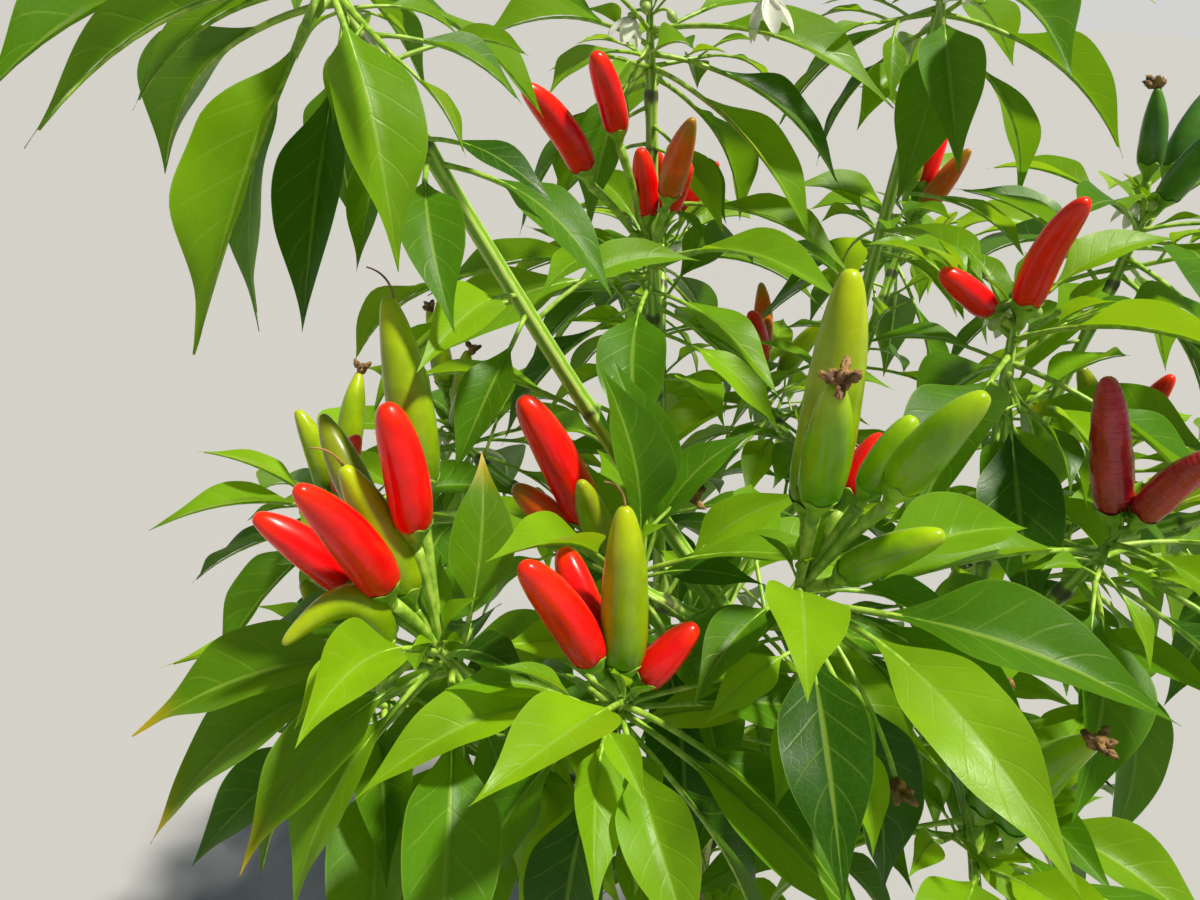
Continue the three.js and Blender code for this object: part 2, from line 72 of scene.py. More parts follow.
# Tufts: bough, top of the shoot, how many leaves, pods and twigs grow by rule, then the leaves that show
# (turn, pitch, reach, roll, tone) and the pods that show (turn, pitch, stalk, length, bend, ripeness)
# A shown leaf's darker tone is partly painted shade and a paler one partly painted light.
tufts = {
    "left": {
        "on": "front_left", "at": (-108, -113, 459), "shoot": 18, "more": 7, "twigs": 1,
        "leaves": [
            (-165, -10, 92, -15, "tipped"), (-160, -30, 104, -10, "tipped"), (-138, -14, 82, -5, "tipped"),
            (-125, -42, 80, 5, "fresh"), (-145, -54, 76, 0, "mid"), (-46, 26, 46, 10, "deep"),
            (85, 62, 66, 20, "tipped"), (-46, -64, 72, 30, "mid"), (170, -8, 84, -20, "mid"),
        ],
        "pods": [
            (120, 70, 51, 54, 0.03, "lime"), (170, 80, 43, 38, 0.03, "red"), (177, 67, 24, 42, 0.02, "lime"),
            (-145, 61, 34, 43, 0.04, "red"), (-174, 44, 36, 32, 0.04, "red"), (-147, 25, 20, 29, 0.5, "lime"),
            (145, 50, 47, 32, 0.02, "olive"),
        ],
    },
    "middle": {
        "on": "front_left", "at": (-53, -128, 459), "shoot": 18, "more": 7, "twigs": 1,
        "leaves": [
            (-152, -4, 76, -10, "lime"), (-140, -10, 28, 0, "fresh"), (-106, -8, 62, -35, "fresh"),
            (-80, -15, 34, 10, "fresh"), (-84, -18, 74, 15, "fresh"), (-40, -14, 84, -20, "mid"),
            (30, 14, 60, 10, "mid"), (-2, -8, 78, 15, "mid"), (-140, -48, 72, 0, "mid"),
        ],
        "pods": [
            (-176, 59, 18, 39, 0.02, "red"), (113, 80, 12, 48, 0.02, "lime"), (146, 55, 18, 34, 0.03, "red"),
            (58, 72, 13, 32, 0.02, "red"),
        ],
    },
    "inner": {
        "on": "front_upper", "at": (-58, -74, 463), "shoot": 26, "more": 8, "twigs": 1,
        "leaves": [
            (113, 60, 80, 0, "mid"), (96, 50, 52, 15, "fresh"), (-15, 15, 46, 30, "deep"),
            (46, 58, 76, 10, "mid"), (154, 76, 80, -20, "mid"),
        ],
        "pods": [
            (167, 60, 23, 47, 0.02, "red"), (-144, 67, 17, 29, 0, "olive"), (174, 40, 24, 23, 0.02, "amber"),
        ],
    },
    "centre_right": {
        "on": "front_upper", "at": (-4, -105, 485), "shoot": 24, "more": 8, "twigs": 1,
        "leaves": [
            (-58, -8, 102, 20, "lime"), (-74, -14, 95, 20, "deep"), (-25, 2, 106, 15, "mid"),
            (-48, -56, 95, 10, "deep"), (-79, -40, 72, 0, "mid"), (0, -18, 62, 10, "mid"),
            (-140, -8, 56, 0, "mid"),
        ],
        "pods": [
            (95, 85, 28, 67, 0.02, "lime"), (-106, 76, 38, 38, 0.02, "green"),
            (-33, 45, 17, 31, 0.04, "green"), (-29, 65, 47, 34, 0.04, "green"),
            (1, 70, 38, 24, 0.02, "green"), (44, 60, 32, 20, 0, "red"),
        ],
    },
    "high_left": {
        "on": "front_upper", "at": (-159, -35, 643), "more": 8,
        "leaves": [
            (-105, -50, 114, 20, "fresh"), (-72, -48, 98, -10, "fresh"), (-118, -60, 104, 30, "mid"),
            (-122, -20, 98, 35, "mid"), (-160, -32, 66, 0, "mid"), (60, -40, 60, 10, "mid"),
        ],
    },
    "low_left": {"on": "front_left", "at": (-150, -72, 402), "more": 13, "podCount": 3},
    "red_right": {
        "on": "right_front", "at": (84, 4, 536), "more": 10,
        "leaves": [(118, 40, 46, 0, "fresh"), (168, 0, 54, 0, "mid"), (72, 32, 50, 10, "mid")],
        "pods": [(-81, 72, 10, 44, 0.08, "red"), (-177, 32, 12, 26, 0, "red")],
    },
    "wrinkled_right": {
        "on": "right_front", "at": (112, -57, 485), "more": 12,
        "pods": [(146, 71, 9, 48, 0, "wine"), (-44, 72, 14, 40, 0.05, "wine")],
    },
    "low_front": {
        "on": "right_front", "at": (62, -128, 398), "more": 14, "podCount": 2, "podTones": ("green",),
    },
    "right_high": {
        "on": "right_back", "at": (168, 92, 560), "more": 11, "podCount": 3, "podTones": ("dark",),
        "leaves": [(-136, 10, 82, 0, "mid")],
    },
    "right_middle": {
        "on": "right_back", "at": (222, 8, 474), "more": 13, "podCount": 4,
        "leaves": [(151, 2, 110, -25, "tipped")],
    },
    "right_low": {"on": "right_back", "at": (196, 100, 428), "more": 13, "podCount": 3},
    "left_middle": {"on": "back_left", "at": (-190, 40, 402), "more": 14, "podCount": 4},
    "back_left_low": {"on": "back_left", "at": (-150, 138, 400), "more": 14, "podCount": 3},
    "red_top": {
        "on": "back_upper", "at": (-50, 75, 531), "more": 8, "twigs": 1,
        "leaves": [(-155, -18, 126, -20, "fresh"), (-50, 8, 108, 10, "fresh"), (-52, -12, 86, 0, "fresh")],
        "pods": [
            (-149, 48, 53, 43, 0.06, "red"), (-133, 64, 62, 32, 0.03, "red"), (-133, 75, 20, 30, 0.03, "red"),
            (-73, 77, 29, 27, 0.03, "red"), (-62, 69, 40, 41, 0.03, "amber"),
        ],
    },
    "top": {
        "on": "back_upper", "at": (-58, 123, 622), "more": 9,
        "leaves": [
            (-104, -52, 98, 0, "mid"), (-22, -10, 112, 20, "fresh"), (-125, -10, 72, 0, "fresh"),
            (-35, -34, 112, 0, "fresh"),
        ],
    },
    "back": {"on": "back_upper", "at": (-38, 214, 500), "more": 14, "podCount": 4},
    "top_right": {
        "on": "back_right", "at": (66, 116, 652), "more": 11, "podCount": 4,
        "leaves": [(-92, -36, 98, 10, "mid"), (-107, -50, 96, -10, "mid")],
    },
    "back_right_middle": {"on": "back_right", "at": (102, 206, 522), "more": 14, "podCount": 4},
    "back_right_low": {"on": "back_right", "at": (30, 190, 416), "more": 12, "podCount": 3},
}
quarters = {  # which tufts' growth is joined into one piece
    "front": ("left", "middle", "inner", "centre_right", "low_front"),
    "left": ("high_left", "low_left", "left_middle", "back_left_low", "red_top"),
    "right": ("red_right", "wrinkled_right", "right_high", "right_middle", "right_low"),
    "back": ("top", "back", "top_right", "back_right_middle", "back_right_low"),
}
tuftRule = {  # a pair is a range
    "goldenTurn": 137.5, "turnToOutside": 0.8, "leafPitch": (34, -60), "droop": 0.8, "leafReach": (50, 104),
    "growth": (0.1, 0.72), "shownFeet": (0.15, 0.75), "filledFeet": (0.05, 0.95), "turn": 40, "pitch": 18,
    "roll": 50, "sway": 0.3, "reachSpread": (0.86, 1.1),
    "tones": ("lime", "fresh", "fresh", "mid", "mid", "deep", "deep", "mid"),  # from young to old
    "toneSpan": (-0.12, 0.88), "toneLuck": 0.3, "podPitch": (50, 84), "podStalk": (14, 30),
    "podLength": (30, 46), "podBend": (0, 0.1), "podFoot": 0.12,
    "podTones": ("red", "green", "lime", "red", "amber", "olive", "red"),
}
leafSizes = {  # as shares of the reach, but for the stalk
    "petioleShare": 0.27, "width": 0.3, "thickness": 0.016, "arch": 0.25, "fold": 0.24,
    "wideStations": (0.26, 0.6), "wideShares": (0.96, 0.74), "middleStation": 0.42, "petioleRadius": 1.05,
    "neckShare": 0.9, "petioleDepth": 1.6,
}
podSizes = {
    "sides": 5, "stations": (0.06, 0.45, 0.84), "shares": (0.96, 0.94, 0.56), "stalkRadius": 1.2,
    "stalkWidening": 1.4, "radius": 3.4, "girth": 0.07, "ahead": 0.05,
}
tryRule = {
    "tries": 7, "turn": 13, "pitch": -7, "shrink": 0.05, "clearance": 0.35, "bunchClearance": -1.4,
}
fineGrowth = {  # what is carried on past the model's own leaves
    "tones": ("lime", "fresh", "fresh", "mid"),
    "youngLeaves": 4,  # at each shoot's tip
    "youngTurn": 95, "youngPitch": (30, 70), "youngReach": (14, 32),
    "boughLeaves": 9,  # on each tuft's own bough
    "boughFeet": (0.3, 0.98), "boughTurn": 60, "boughPitch": (30, -55), "boughReach": (44, 84),
    "innerLeaves": 12,  # on each forked bough
    "innerFeet": (0.35, 0.95), "innerPitch": (20, -50), "innerReach": (56, 92),
    # the inner leaves' deep tones are partly painted shade inside the crown
    "innerTones": ("mid", "deep", "deep", "mid"), "twigs": 3, "twigTurn": 40, "twigFeet": (0.2, 0.8),
    "twigPitch": (-25, 50), "twigLength": (16, 34), "twigRadius": (1.15, 0.8), "twigLeaves": 4,
    "twigLeafFeet": (0.5, 1), "twigLeafTurn": 55,
    "lastLeafTurn": 0.2,  # share of that turn for the leaf at the tip
    "twigLeafPitch": (-35, 20), "twigLeafReach": (24, 50),
}
besideRule = (  # single leaves of the photograph: limb and share along it, turn, pitch, reach, roll, tone
    ("to_high_left", 0.7, 172, -38, 64, 20, "fresh"),
    ("to_high_left", 0.63, -110, -38, 60, 0, "mid"),
    ("to_high_left", 0.88, -30, -12, 50, 10, "deep"),
    ("to_high_left", 0.86, -112, -16, 92, 0, "mid"),
    ("to_top", 0.36, -11, 0, 58, 0, "mid"),
    ("to_top", 0.73, -18, -11, 99, 10, "fresh"),
    ("to_right_high", 0.96, 157, 26, 84, 0, "mid"),
    ("to_inner", 0.97, 12, 42, 64, 40, "lime"),
    ("to_centre_right", 0.9, 60, 20, 62, 0, "lime"),
)
up = np.array([0.0, 0.0, 1.0])


def vec(xyz):
    return np.array(xyz, dtype=float)


def unit(v):
    return v / np.linalg.norm(v)


def between(low, high, share):
    return low + (high - low) * share


def shares(steps):  # evenly from 0 to 1
    return [i / steps for i in range(steps + 1)]


def chance(seed, step):  # the same share from 0 to 1 each time
    wave = math.sin(seed * 12.9898 + step * 78.233) * 43758.5453
    return wave - math.floor(wave)


def heading(turn, pitch):
    a, b = math.radians(turn), math.radians(pitch)
    return np.array([math.cos(b) * math.cos(a), math.cos(b) * math.sin(a), math.sin(b)])


def bezier(path, share):
    a, b, c = path
    return a * (1 - share) ** 2 + b * (2 * share * (1 - share)) + c * share**2


def bezierAim(path, share):
    a, b, c = path
    return unit((b - a) * (1 - share) + (c - b) * share)


def ringAcross(centre, aim, radius, sides):
    reference = np.array([1.0, 0, 0]) if abs(aim[2]) > 0.85 else up
    a = unit(np.cross(aim, reference))
    b = np.cross(aim, a)
    turns = [2 * math.pi * i / sides for i in range(sides)]
    return [centre + a * radius * math.cos(turn) + b * radius * math.sin(turn) for turn in turns]


def loftFaces(counts):  # faces through rings of that many points, closed at both ends
    faces, start = [], 0
    for here, following in zip(counts, counts[1:]):
        for j in range(max(here, following)):
            a, b = start + j % here, start + (j + 1) % here
            c, d = start + here + j % following, start + here + (j + 1) % following
            faces.append([a, b, d, c] if here > 1 and following > 1 else [a, b, c] if here > 1 else [a, d, c])
        start += here
    if counts[-1] > 1:
        faces.append([start + j for j in range(counts[-1])])
    if counts[0] > 1:
        faces.append([j for j in reversed(range(counts[0]))])
    return faces


class Body:  # a coarse closed shape that new growth keeps clear of
    def __init__(self, points, faces):
        self.low, self.high = np.min(points, 0), np.max(points, 0)
        self.tree = BVHTree.FromPolygons([Vector(p) for p in points], faces)

    def touches(self, other):
        return bool(self.tree.overlap(other.tree))


def bodyOf(rings):
    return Body([p for ring in rings for p in ring], loftFaces([len(ring) for ring in rings]))


class Crown:  # all that has grown so far
    def __init__(self):
        self.rows = []
        self.lows = np.empty((0, 3))
        self.highs = np.empty((0, 3))

    def add(self, owner, whole, blade=None):
        self.rows.append((owner, whole, blade))
        self.lows = np.vstack([self.lows, whole.low])
        self.highs = np.vstack([self.highs, whole.high])

    def isClear(self, owner, whole, blade, onBough=False):
        apart = (self.lows > whole.high).any(1) | (self.highs < whole.low).any(1)
        for i in np.flatnonzero(~apart):
            otherOwner, otherWhole, otherBlade = self.rows[i]
            if otherOwner != owner:
                mine = blade if onBough and otherOwner == "bough" else whole
                if mine.touches(otherWhole):
                    return False
            elif otherBlade and blade.touches(otherBlade):
                return False
        return True


def boughTree():
    sizes = limbSizes
    ends = {"stem": vec(sizes["stemTop"])}
    limbs = []

    def carried(name):
        own = sum(tuft["on"] == name for tuft in tufts.values())
        return own + sum(carried(child) for child, (parent, _) in boughs.items() if parent == name)

    def add(name, parent, end, count):
        start = ends[parent]
        middle = (start + end) / 2 - up * sizes["sag"] * np.linalg.norm(end - start)
        radius = sizes["tipRadius"] * count ** sizes["radiusPower"]
        root, tip = radius * (1 + sizes["taper"]), radius * (1 - sizes["taper"])
        limbs.append({"name": name, "path": (start, middle, end), "root": root, "tip": tip})
        ends[name] = end

    for name, (parent, end) in boughs.items():
        add(name, parent, vec(end), carried(name))
    for name, tuft in tufts.items():
        tuft["node"] = vec(tuft["at"])
        tuft["lean"] = unit(unit(tuft["node"] - ends[tuft["on"]]) + up * sizes["shootRise"])
        tuft["shoot"] = tuft.get("shoot", sizes["shootLength"])
        tuft["foot"] = tuft["node"] - tuft["lean"] * tuft["shoot"]
        add("to_" + name, tuft["on"], tuft["foot"], 1)
    return limbs


def stemRadius(z, share, topRadius):
    sizes = limbSizes
    straight = topRadius * between(sizes["stemWidening"], 1, share)
    flare = math.exp(-z / sizes["flareHeight"])
    return between(straight, sizes["footRadius"], flare), flare


def leafFrame(leaf):
    aim = heading(leaf["turn"], leaf["pitch"])
    side = np.cross(heading(leaf["turn"], 0), up)
    return aim, side, np.cross(side, aim)


def leafAxes(leaf):  # across and over the blade, rolled about its axis
    _, side, over = leafFrame(leaf)
    roll = math.radians(leaf["roll"])
    return side * math.cos(roll) - over * math.sin(roll), over * math.cos(roll) + side * math.sin(roll)


def leafAxis(leaf, u):  # a place on the arched line from the shoot to the tip
    aim, side, over = leafFrame(leaf)
    reach = leaf["reach"]
    bow = 2 * reach * u * (1 - u)
    return leaf["root"] + aim * reach * u + over * leafSizes["arch"] * bow + side * leaf["sway"] * bow


def leafBody(leaf, grow=0, petiole=True):
    sizes = leafSizes
    reach, (rolled, normal) = leaf["reach"], leafAxes(leaf)

    def place(u, across, rise):
        return leafAxis(leaf, u) + rolled * across + normal * (rise + sizes["fold"] * abs(across))

    share = sizes["petioleShare"]
    near, far = [between(share, 1, station) for station in sizes["wideStations"]]
    half = sizes["width"] * reach / 2
    nearHalf, farHalf = [wide * half + grow for wide in sizes["wideShares"]]
    thick = sizes["thickness"] * reach / 2 + grow
    neck = sizes["petioleRadius"] * sizes["neckShare"] + grow
    middle = between(share, 1, sizes["middleStation"])
    outline = ((share, -neck), (near, -nearHalf), (far, -farHalf), (1 + grow / reach, 0))
    outline += ((far, farHalf), (near, nearHalf), (share, neck))
    points = [place(u, across, 0) for u, across in outline]
    points += [place(middle, 0, thick), place(middle, 0, -thick)]
    points.append(place(share, 0, -sizes["petioleDepth"] * neck))
    faces = [[8, 1, 9], [1, 0, 9], [8, 9, 5], [5, 9, 6]]
    faces += [[7, i, (i + 1) % 7] for i in range(7)]
    faces += [[8, i + 1, i] for i in range(1, 5)]
    if not petiole:
        return Body(points, faces + [[0, 6, 9]])
    size = sizes["petioleRadius"] + grow
    points += [place(0, -size, 0), place(0, size, 0), place(0, 0, -sizes["petioleDepth"] * size)]
    neckRing, rootRing = [0, 6, 9], [10, 11, 12]
    for i in range(3):
        j = (i + 1) % 3
        faces.append([neckRing[i], neckRing[j], rootRing[j], rootRing[i]])
    return Body(points, faces + [rootRing])


def podLengths(pod):  # length and the girth's radius
    length = pod["reach"] - pod["stalk"]
    return length, podSizes["radius"] + podSizes["girth"] * length


def podCentre(pod, share):
    aim, _, over = leafFrame(pod)
    length = podLengths(pod)[0]
    onAxis = pod["root"] + aim * (pod["stalk"] + length * share)
    return onAxis + over * 4 * pod["bend"] * length * share * (1 - share)


def podBody(pod, grow=0, stalk=True):
    sizes = podSizes
    length, radius = podLengths(pod)

    def across(share, size):
        centre = podCentre(pod, share)
        ahead = unit(podCentre(pod, share + sizes["ahead"]) - centre)
        return ringAcross(centre, ahead, size + grow, sizes["sides"])

    rings = [across(share, radius * wide) for share, wide in zip(sizes["stations"], sizes["shares"])]
    rings.append([podCentre(pod, 1 + grow / length)])
    if stalk:
        foot = ringAcross(pod["root"], leafFrame(pod)[0], sizes["stalkRadius"] + grow, sizes["sides"])
        rings = [foot, across(0, sizes["stalkRadius"] * sizes["stalkWidening"]), *rings]
    return bodyOf(rings)


def leafOf(root, turn, pitch, reach, roll, sway, tone):
    return dict(root=root, turn=turn, pitch=pitch, reach=reach, roll=roll, sway=sway, tone=tone)


def growthOf(name, seed):  # the pods and leaves of one tuft, those that show and those by rule
    tuft, rule = tufts[name], tuftRule
    top = limbSizes["stemTop"]
    outside = math.degrees(math.atan2(tuft["node"][1] - top[1], tuft["node"][0] - top[0]))
    tuft["outside"] = outside

    def onShoot(share):
        return tuft["node"] - tuft["lean"] * share * (tuft["shoot"] - limbSizes["shootRadius"])

    def vary(step, spread):
        return spread * (chance(seed, step) - 0.5)

    def pick(key, step):
        return between(*rule[key], chance(seed, step))

    def pod(turn, pitch, stalk, length, bend, ripeness):
        made = dict(root=onShoot(rule["podFoot"]), turn=turn, pitch=pitch, bend=bend, ripeness=ripeness)
        return {**made, "reach": stalk + length, "stalkShare": stalk / (stalk + length)}

    def ruledPod(k):
        turn = outside + rule["goldenTurn"] * k + vary(k + 0.1, rule["turn"])
        steps = {"podPitch": 0.2, "podStalk": 0.3, "podLength": 0.4, "podBend": 0.5}
        tones = tuft.get("podTones", rule["podTones"])
        tone = tones[int(len(tones) * chance(seed, k + 0.8))]
        return pod(turn, *[pick(key, k + step) for key, step in steps.items()], tone)

    def shownLeaf(k, turn, pitch, reach, roll, tone):
        root = onShoot(pick("shownFeet", k + 0.6))
        return leafOf(root, turn, pitch, reach, roll, vary(k + 0.7, rule["sway"]), tone)

    def ruledLeaf(k):
        age = (k + 0.5) / tuft["more"]
        turnAway = (rule["goldenTurn"] * k + vary(k + 1.1, rule["turn"]) + 180) % 360 - 180
        size = math.sin(math.pi * between(*rule["growth"], age)) * pick("reachSpread", k + 1.4)
        root, turn = onShoot(between(*rule["filledFeet"], age)), outside + turnAway * rule["turnToOutside"]
        pitch = between(*rule["leafPitch"], age ** rule["droop"]) + vary(k + 1.3, rule["pitch"])
        roll, sway = vary(k + 1.5, rule["roll"]), vary(k + 1.7, rule["sway"])
        tone = toneFor(age, chance(seed, k + 1.9))
        return leafOf(root, turn, pitch, between(*rule["leafReach"], size), roll, sway, tone)

    return {
        "shownPods": [pod(*row) for row in tuft.get("pods", [])],
        "ruledPods": [ruledPod(k) for k in range(tuft.get("podCount", 0))],
        "shownLeaves": [shownLeaf(k, *row) for k, row in enumerate(tuft.get("leaves", []))],
        "ruledLeaves": [ruledLeaf(k) for k in range(tuft["more"])],
    }


def toneFor(age, luck):  # young leaves are paler, and chance adds one tone more or less
    tones = tuftRule["tones"]
    place = between(*tuftRule["toneSpan"], age) + tuftRule["toneLuck"] * luck
    return tones[min(len(tones) - 1, max(0, int(place * len(tones))))]


def settle(item, bodyFor, owner, crown, ownClearance):  # the first of its tries that is clear, or nothing
    rule = tryRule
    for i in range(rule["tries"]):
        tried = dict(item)
        tried["turn"] = item["turn"] + rule["turn"] * math.ceil(i / 2) * (1 if i % 2 else -1)
        tried["pitch"] = item["pitch"] + rule["pitch"] * (i // 2)
        tried["reach"] = item["reach"] * (1 - rule["shrink"] * i)
        if "stalkShare" in item:
            tried["stalk"] = tried["reach"] * item["stalkShare"]
        whole, blade = bodyFor(tried, rule["clearance"]), bodyFor(tried, ownClearance, False)
        if crown.isClear(owner, whole, blade, "onBough" in item):
            crown.add(owner, bodyFor(tried), bodyFor(tried, 0, False))
            return tried
    return None


def growLimbs(crown):
    limbs, coarse = boughTree(), coarseShape
    topRadius = limbs[0]["root"] * limbSizes["forkSwelling"]
    stemPath = (np.zeros(3), vec(limbSizes["stemBend"]), vec(limbSizes["stemTop"]))
    rings = []
    for share in shares(coarse["stemSteps"]):
        centre = bezier(stemPath, share)
        radius, _ = stemRadius(centre[2], share, topRadius)
        rings.append(ringAcross(centre, up, radius, coarse["stemSides"]))
    crown.add("stem", bodyOf(rings))
    for limb in limbs:
        rings = []
        for share in shares(coarse["limbSteps"]):
            centre, aim = bezier(limb["path"], share), bezierAim(limb["path"], share)
            radius = between(limb["root"], limb["tip"], share)
            rings.append(ringAcross(centre, aim, radius, coarse["limbSides"]))
        crown.add("bough", bodyOf(rings))
    return limbs, stemPath, topRadius


def growTufts(crown):
    radius, tipRadius = limbSizes["shootRadius"], limbSizes["shootTipRadius"]
    gap, sides = coarseShape["shootGap"], coarseShape["shootSides"]
    grown = {name: growthOf(name, i + 1) for i, name in enumerate(tufts)}
    for name, tuft in tufts.items():
        lean = tuft["lean"]
        foot = ringAcross(tuft["foot"] + lean * gap, lean, radius, sides)
        crown.add(name, bodyOf([foot, ringAcross(tuft["node"] + lean * radius, lean, tipRadius, sides)]))
    for kind in ("shownPods", "ruledPods", "shownLeaves", "ruledLeaves"):
        bodyFor = podBody if kind.endswith("Pods") else leafBody
        own = tryRule["bunchClearance"] if kind == "shownPods" else tryRule["clearance"]
        for name in tufts:
            settled = [settle(item, bodyFor, name, crown, own) for item in grown[name][kind]]
            grown[name][kind] = [item for item in settled if item]
    return grown


def growFine(crown, limbs):  # twigs with small leaves, young leaves at shoot tips, leaves along the boughs
    rule, golden = fineGrowth, tuftRule["goldenTurn"]
    fine = {name: {"twigs": [], "smallLeaves": []} for name in tufts}
    paths = {limb["name"]: limb["path"] for limb in limbs}

    def pick(key, seed, step):
        return between(*rule[key], chance(seed, step))

    def leafAt(root, turn, pitch, reach, seed, step, **more):
        roll = tuftRule["roll"] * (chance(seed, step + 0.1) - 0.5)
        sway = tuftRule["sway"] * (chance(seed, step + 0.2) - 0.5)
        tone = rule["tones"][int(len(rule["tones"]) * chance(seed, step + 0.3))]
        return {**leafOf(root, turn, pitch, reach, roll, sway, tone), **more}

    def grow(tuft, owner, leaf, clearance=tryRule["clearance"]):
        settled = settle(leaf, leafBody, owner, crown, clearance)
        if settled:
            fine[tuft]["smallLeaves"].append(settled)
        return settled

    for seed, (limb, share, turn, pitch, reach, roll, tone) in enumerate(besideRule):
        name, root = limb[3:], bezier(paths[limb], share)
        leaf = leafAt(root, turn, pitch, reach, seed, 60, roll=roll, tone=tone, onBough=True)
        print("leaf beside the rule on", limb, "grown" if grow(name, name, leaf, 0) else "left out")

    def growTwig(name, tuft, seed, t):
        turn = tuft["outside"] + golden * t + rule["twigTurn"] * (chance(seed, t + 20.1) - 0.5)
        pitch = pick("twigPitch", seed, t + 20.2)
        start = tuft["node"] - tuft["lean"] * tuft["shoot"] * pick("twigFeet", seed, t + 20.4)
        end = start + heading(turn, pitch) * pick("twigLength", seed, t + 20.3)
        last, settled = rule["twigLeaves"] - 1, []
        for k in range(rule["twigLeaves"]):
            root = start + (end - start) * between(*rule["twigLeafFeet"], k / last)
            turned = (1 if k % 2 else -1) * rule["twigLeafTurn"] * (1 if k < last else rule["lastLeafTurn"])
            step = k + t * 5 + 30
            leafPitch = pitch + pick("twigLeafPitch", seed, step + 0.4)
            reach = pick("twigLeafReach", seed, step + 0.5)
            settled.append(grow(name, name, leafAt(root, turn + turned, leafPitch, reach, seed, step)))
        if any(settled):
            fine[name]["twigs"].append((start, end))

    for seed, (name, tuft) in enumerate(tufts.items(), 101):
        for t in range(tuft.get("twigs", rule["twigs"])):
            growTwig(name, tuft, seed, t)
        for k in range(rule["youngLeaves"]):
            turn, pitch = tuft["outside"] + rule["youngTurn"] + golden * k, pick("youngPitch", seed, k + 0.4)
            reach = pick("youngReach", seed, k + 0.5)
            grow(name, name, leafAt(tuft["node"], turn, pitch, reach, seed, k))
        for k in range(rule["boughLeaves"]):
            root = bezier(paths["to_" + name], pick("boughFeet", seed, k + 10.6))
            turn, pitch = tuft["outside"] + rule["boughTurn"] + golden * k, pick("boughPitch", seed, k + 10.4)
            reach = pick("boughReach", seed, k + 10.5)
            grow(name, name, leafAt(root, turn, pitch, reach, seed, k + 10, onBough=True))

    for seed, (name, (_, end)) in enumerate(boughs.items(), 201):  # leaves along the boughs inside the crown
        near = next(tuft for tuft, own in tufts.items() if name in (own["on"], boughs[own["on"]][0]))
        outside = math.degrees(math.atan2(end[1], end[0]))
        for k in range(rule["innerLeaves"]):
            root = bezier(paths[name], between(*rule["innerFeet"], (k + 0.5) / rule["innerLeaves"]))
            pitch, reach = pick("innerPitch", seed, k + 0.4), pick("innerReach", seed, k + 0.5)
            leaf = leafAt(root, outside + golden * k, pitch, reach, seed, k, onBough=True)
            grow(near, name, {**leaf, "tone": rule["innerTones"][k % len(rule["innerTones"])]})
    return fine


crown = Crown()
limbs, stemPath, topRadius = growLimbs(crown)
grown = growTufts(crown)
fine = growFine(crown, limbs)
print("growth:", len(crown.rows), "limbs, pods and leaves keep clear of each other")

# Node trees, written as formulas


def operator(operation, turned=False):
    def apply(self, other):
        return self.net.combine(operation, *((other, self) if turned else (self, other)))
    return apply


class Field:  # what a socket puts out; sums and products of fields make their own nodes
    __add__, __radd__ = operator("ADD"), operator("ADD", True)
    __sub__, __rsub__ = operator("SUBTRACT"), operator("SUBTRACT", True)
    __mul__, __rmul__ = operator("MULTIPLY"), operator("MULTIPLY", True)
    __truediv__ = operator("DIVIDE")

    def __init__(self, net, socket):
        self.net, self.socket = net, socket

    def at(self, name):  # another output of the same node
        return Field(self.net, self.socket.node.outputs[name])


class Net:
    def __init__(self, tree):
        self.tree = tree

    def node(self, kind, inputs=None, out=0, **settings):
        made = self.tree.nodes.new(kind)
        for name, value in settings.items():
            setattr(made, name, value)
        for key, value in (inputs or {}).items():
            if isinstance(value, Field):
                self.tree.links.new(value.socket, made.inputs[key])
            else:
                made.inputs[key].default_value = value
        return Field(self, made.outputs[out]) if len(made.outputs) else None

    def isVector(self, value):
        return isinstance(value, tuple) or (isinstance(value, Field) and value.socket.type == "VECTOR")

    def combine(self, operation, first, second):
        if not (self.isVector(first) or self.isVector(second)):
            return self.math(operation, first, second)
        if operation == "MULTIPLY" and not self.isVector(second):
            return self.scaled(first, second)
        if operation == "MULTIPLY" and not self.isVector(first):
            return self.scaled(second, first)
        return self.vector(operation, first, second)

    def math(self, operation, *values):
        return self.node("ShaderNodeMath", dict(enumerate(values)), operation=operation)

    def sine(self, angle):
        return self.math("SINE", angle)

    def cosine(self, angle):
        return self.math("COSINE", angle)

    def vector(self, operation, *values):
        out = 1 if operation == "DOT_PRODUCT" else 0
        return self.node("ShaderNodeVectorMath", dict(enumerate(values)), out, operation=operation)

    def scaled(self, vector, share):
        return self.node("ShaderNodeVectorMath", {0: vector, 3: share}, operation="SCALE")

    def ramp(self, value, low, high, start=0.0, end=1.0):  # eased from start at low to end at high
        inputs = {0: value, 1: low, 2: high, 3: start, 4: end}
        return self.node("ShaderNodeMapRange", inputs, interpolation_type="SMOOTHSTEP")

    def noise(self, place, scale, detail=2.0, roughness=0.5):
        inputs = {"Vector": place, "Scale": scale, "Detail": detail, "Roughness": roughness}
        return self.node("ShaderNodeTexNoise", inputs)

    def wander(self, place, scale, detail, width):  # to either side of nought
        return (self.noise(place, scale, detail) - 0.5) * width

    def patches(self, place, scale, detail, *span):
        return self.ramp(self.noise(place, scale, detail), *span)

    def mix(self, share, first, second):
        return self.node("ShaderNodeMix", {0: share, 6: first, 7: second}, 2, data_type="RGBA")

    def spot(self):  # where a point lies in its object
        return self.node("ShaderNodeTexCoord", out="Object")

    def joined(self, x, y=0.0, z=0.0):
        return self.node("ShaderNodeCombineXYZ", {0: x, 1: y, 2: z})

    def split(self, vector):
        return self.node("ShaderNodeSeparateXYZ", {0: vector})


